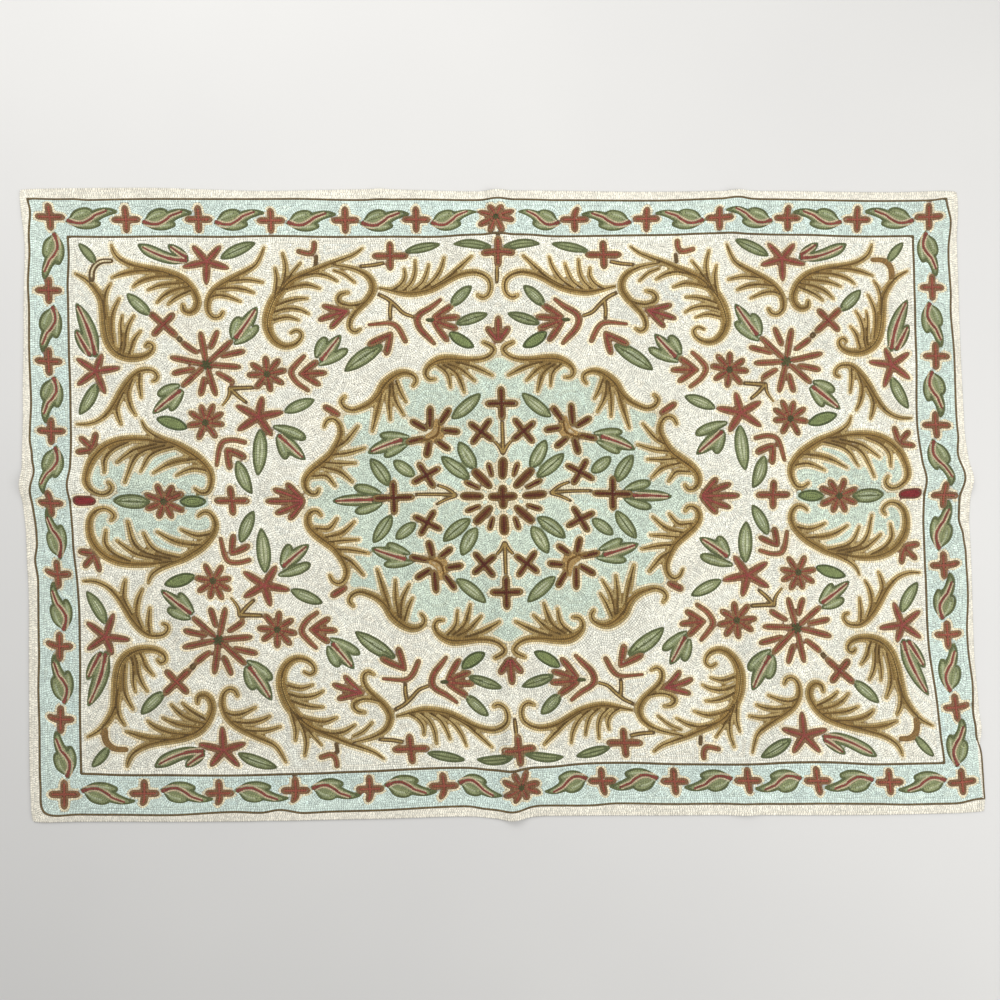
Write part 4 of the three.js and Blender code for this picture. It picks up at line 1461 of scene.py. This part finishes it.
# Plain woven cotton duck, unbleached: matt, with a fine even weave
def makeCotton():
    material, tree = startMaterial("unbleached cotton duck")
    place = addNode(tree, "ShaderNodeTexCoord")
    warp = addNode(tree, "ShaderNodeTexWave", {"bands_direction": "X"},
                   {"Vector": place.outputs["Object"], "Scale": cottonLook["threadScale"],
                    "Distortion": 0.4})
    weft = addNode(tree, "ShaderNodeTexWave", {"bands_direction": "Y"},
                   {"Vector": place.outputs["Object"], "Scale": cottonLook["threadScale"],
                    "Distortion": 0.4})
    weave = addNode(tree, "ShaderNodeMath", {"operation": "MULTIPLY"}, {
        0: warp.outputs["Fac"], 1: weft.outputs["Fac"]})
    slub = addNode(tree, "ShaderNodeTexNoise", inputs={
        "Vector": place.outputs["Object"], "Scale": cottonLook["slubScale"]})
    mixed = addNode(tree, "ShaderNodeMix", {"data_type": "RGBA"}, {
        "Factor": slub.outputs["Fac"], 6: (*linear(cottonLook["dark"]), 1),
        7: (*linear(cottonLook["light"]), 1)})
    bump = addNode(tree, "ShaderNodeBump", inputs={
        "Strength": 0.5, "Distance": 0.0003, "Height": weave.outputs[0]})
    cotton = addNode(tree, "ShaderNodeBsdfPrincipled", inputs={
        "Base Color": mixed.outputs[2], "Roughness": 0.9, "Normal": bump.outputs[0]})
    addNode(tree, "ShaderNodeOutputMaterial", inputs={"Surface": cotton.outputs[0]})
    return material


woolMaterial, coveredMaterial, cottonMaterial = makeWool(), makeCovered(), makeCotton()

# The pieces of stitched rows
rowPieces = []
for piece, rows in placedRows.items():
    for label, chosen in splitRows(piece, rows):
        made = ribbonMesh(label, chosen)
        rowPieces.append(made)
        print(f"{label}: {len(made.data.polygons) * 2} triangles")

# The yarn that lies over each place of the cloth, which also shows deep between the rows, darkened there as
# painted shade
deep = {
    "haloWidth": 0.5,
    "inset": 0.1,  # how far inside its edge a shape's own yarn begins
    # painted shade: the cloth between the rows is darker than the yarn over it
    "shade": 0.8,
    "cell": 0.004,  # the cloth is coloured by small squares
    "spareCells": 40,
}
overCloth = np.full(gridShape, yarnList.index("cream"))
overCloth[insideAqua] = yarnList.index("panel aqua")
overCloth[insideOuter & ~insideInner] = yarnList.index("border aqua")
overCloth[(warm < deep["haloWidth"]) & (warm < others)] = yarnList.index("cream halo")
for name in reversed(layerNames):
    inside = distance[name] < -deep["inset"]
    overCloth[inside] = dyeNumbers[nearestKind[name][inside], 1]
# The cotton cloth: a grid laid to the outline, made solid
bpy.ops.mesh.primitive_grid_add(x_subdivisions=round(cloth["length"] / cloth["step"]),
                                y_subdivisions=round(cloth["width"] / cloth["step"]), size=1)
backing = bpy.context.active_object
backing.name = "cotton_cloth"
flat = np.empty(len(backing.data.vertices) * 3)
backing.data.vertices.foreach_get("co", flat)
flat = flat.reshape(-1, 3)
clothX, clothY = placeOf(flat[:, 0] + 0.5, 0.5 - flat[:, 1])
clothX, clothY = clothX - boxMiddle[0], clothY - boxMiddle[1]
placed = np.column_stack([clothX, clothY, liftAt(clothX, clothY) + cloth["backing"]])
backing.data.vertices.foreach_set("co", placed.ravel())
backing.data.update()
chartPlaces = np.stack(np.meshgrid(gridX, gridY), -1).reshape(-1, 2)
cellsAlong = int(cloth["length"] / deep["cell"]) + deep["spareCells"]
cellsAcross = int(cloth["width"] / deep["cell"]) + deep["spareCells"]
middleCell = (cellsAlong * 0.5, cellsAlong * 0.35)  # where the middle of the rug lies


def cellAt(x, y):
    column = (x / deep["cell"] + middleCell[0]).astype(int)
    row = (y / deep["cell"] + middleCell[1]).astype(int)
    return row * cellsAlong + column


cellYarn = np.full(cellsAcross * cellsAlong, yarnList.index("hem"))
cellYarn[cellAt(*onCloth(chartPlaces).T)] = overCloth.ravel()
clothYarn = cellYarn[cellAt(clothX, clothY)]
# the yarn over each place, darkened as painted shade in the grooves
shadedClothColour = np.column_stack([yarnColours[clothYarn] * deep["shade"], np.ones(len(clothYarn))])
backingYarn = backing.data.color_attributes.new("Yarn", "FLOAT_COLOR", "POINT")
backingYarn.data.foreach_set("color", shadedClothColour.astype(np.float32).ravel())
backing.data.materials.append(coveredMaterial)
backing.data.materials.append(cottonMaterial)
bendLimit = 50  # degrees: the cloth shades smoothly but for its cut edges
solid = backing.modifiers.new("thickness", "SOLIDIFY")
solid.thickness = cloth["backing"]
solid.offset = -1
solid.material_offset = 1  # the underside is bare cotton
bpy.ops.object.modifier_apply(modifier=solid.name)
bpy.ops.object.shade_smooth_by_angle(angle=math.radians(bendLimit))
print("cloth done")

for piece in rowPieces:
    piece.data.materials.append(woolMaterial)
for piece in [backing, *rowPieces]:
    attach(piece, "root")
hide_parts("rug_cloth")
print("materials done")

# The scene: a plain pale floor, soft light from above and a camera that looks straight down
studio = {
    "floorSize": 30,
    "floorTones": ("C9C8C6", "D0CFCC"),
    "cameraHeight": 1.397,  # above the face of the rug
    "imageWidth": 1.935,  # on the face of the rug
    "imageMiddle": (-0.0034, 0.0097),
    "sensor": 36.0,
    "surroundings": 0.4,
}
bpy.ops.object.select_all(action="DESELECT")
bpy.ops.mesh.primitive_plane_add(size=studio["floorSize"], location=(0, 0, 0))
floor = bpy.context.active_object
floor.name = "floor"
floorMaterial, floorTree = startMaterial("matt studio floor")
floorPlace = addNode(floorTree, "ShaderNodeTexCoord")
floorCloud = addNode(floorTree, "ShaderNodeTexNoise", inputs={
    "Vector": floorPlace.outputs["Object"], "Scale": 2.0})
floorTone = addNode(floorTree, "ShaderNodeMix", {"data_type": "RGBA"}, {
    "Factor": floorCloud.outputs["Fac"], 6: (*linear(studio["floorTones"][0]), 1),
    7: (*linear(studio["floorTones"][1]), 1)})
floorShade = addNode(floorTree, "ShaderNodeBsdfPrincipled", inputs={
    "Base Color": floorTone.outputs[2], "Roughness": 0.95})
addNode(floorTree, "ShaderNodeOutputMaterial", inputs={"Surface": floorShade.outputs[0]})
floor.data.materials.append(floorMaterial)

cameraData = bpy.data.cameras.new("camera")
cameraData.sensor_width = studio["sensor"]
cameraData.lens = studio["sensor"] * studio["cameraHeight"] / studio["imageWidth"]
faceHeight = solidBounds[1].z / 3  # of the flat parts of the rug, as the ridges stand three times as high
camera = bpy.data.objects.new("camera", cameraData)
camera.location = (*studio["imageMiddle"], studio["cameraHeight"] + faceHeight)
bpy.context.scene.collection.objects.link(camera)
bpy.context.scene.camera = camera

lights = [
    dict(name="key", place=(-0.9, 1.9, 2.0), size=1.6, power=50),
    dict(name="side", place=(2.1, -0.5, 1.8), size=1.6, power=36),
    dict(name="over", place=(0.3, 0.4, 3.2), size=3.0, power=30),
]
for light in lights:
    data = bpy.data.lights.new(light["name"], "AREA")
    data.energy = light["power"]
    data.size = light["size"]
    lamp = bpy.data.objects.new(light["name"], data)
    lamp.location = light["place"]
    # each lamp is turned towards the middle of the rug
    way = -np.array(light["place"])
    lamp.rotation_euler = (math.acos(-way[2] / np.linalg.norm(way)), 0,
                           math.atan2(way[1], way[0]) - math.pi / 2)
    bpy.context.scene.collection.objects.link(lamp)
world = bpy.data.worlds.new("studio")
world.use_nodes = True
background = world.node_tree.nodes["Background"]
background.inputs["Color"].default_value = (1, 1, 1, 1)
background.inputs["Strength"].default_value = studio["surroundings"]
bpy.context.scene.world = world
bpy.context.scene.view_settings.view_transform = "Standard"
print("studio done")
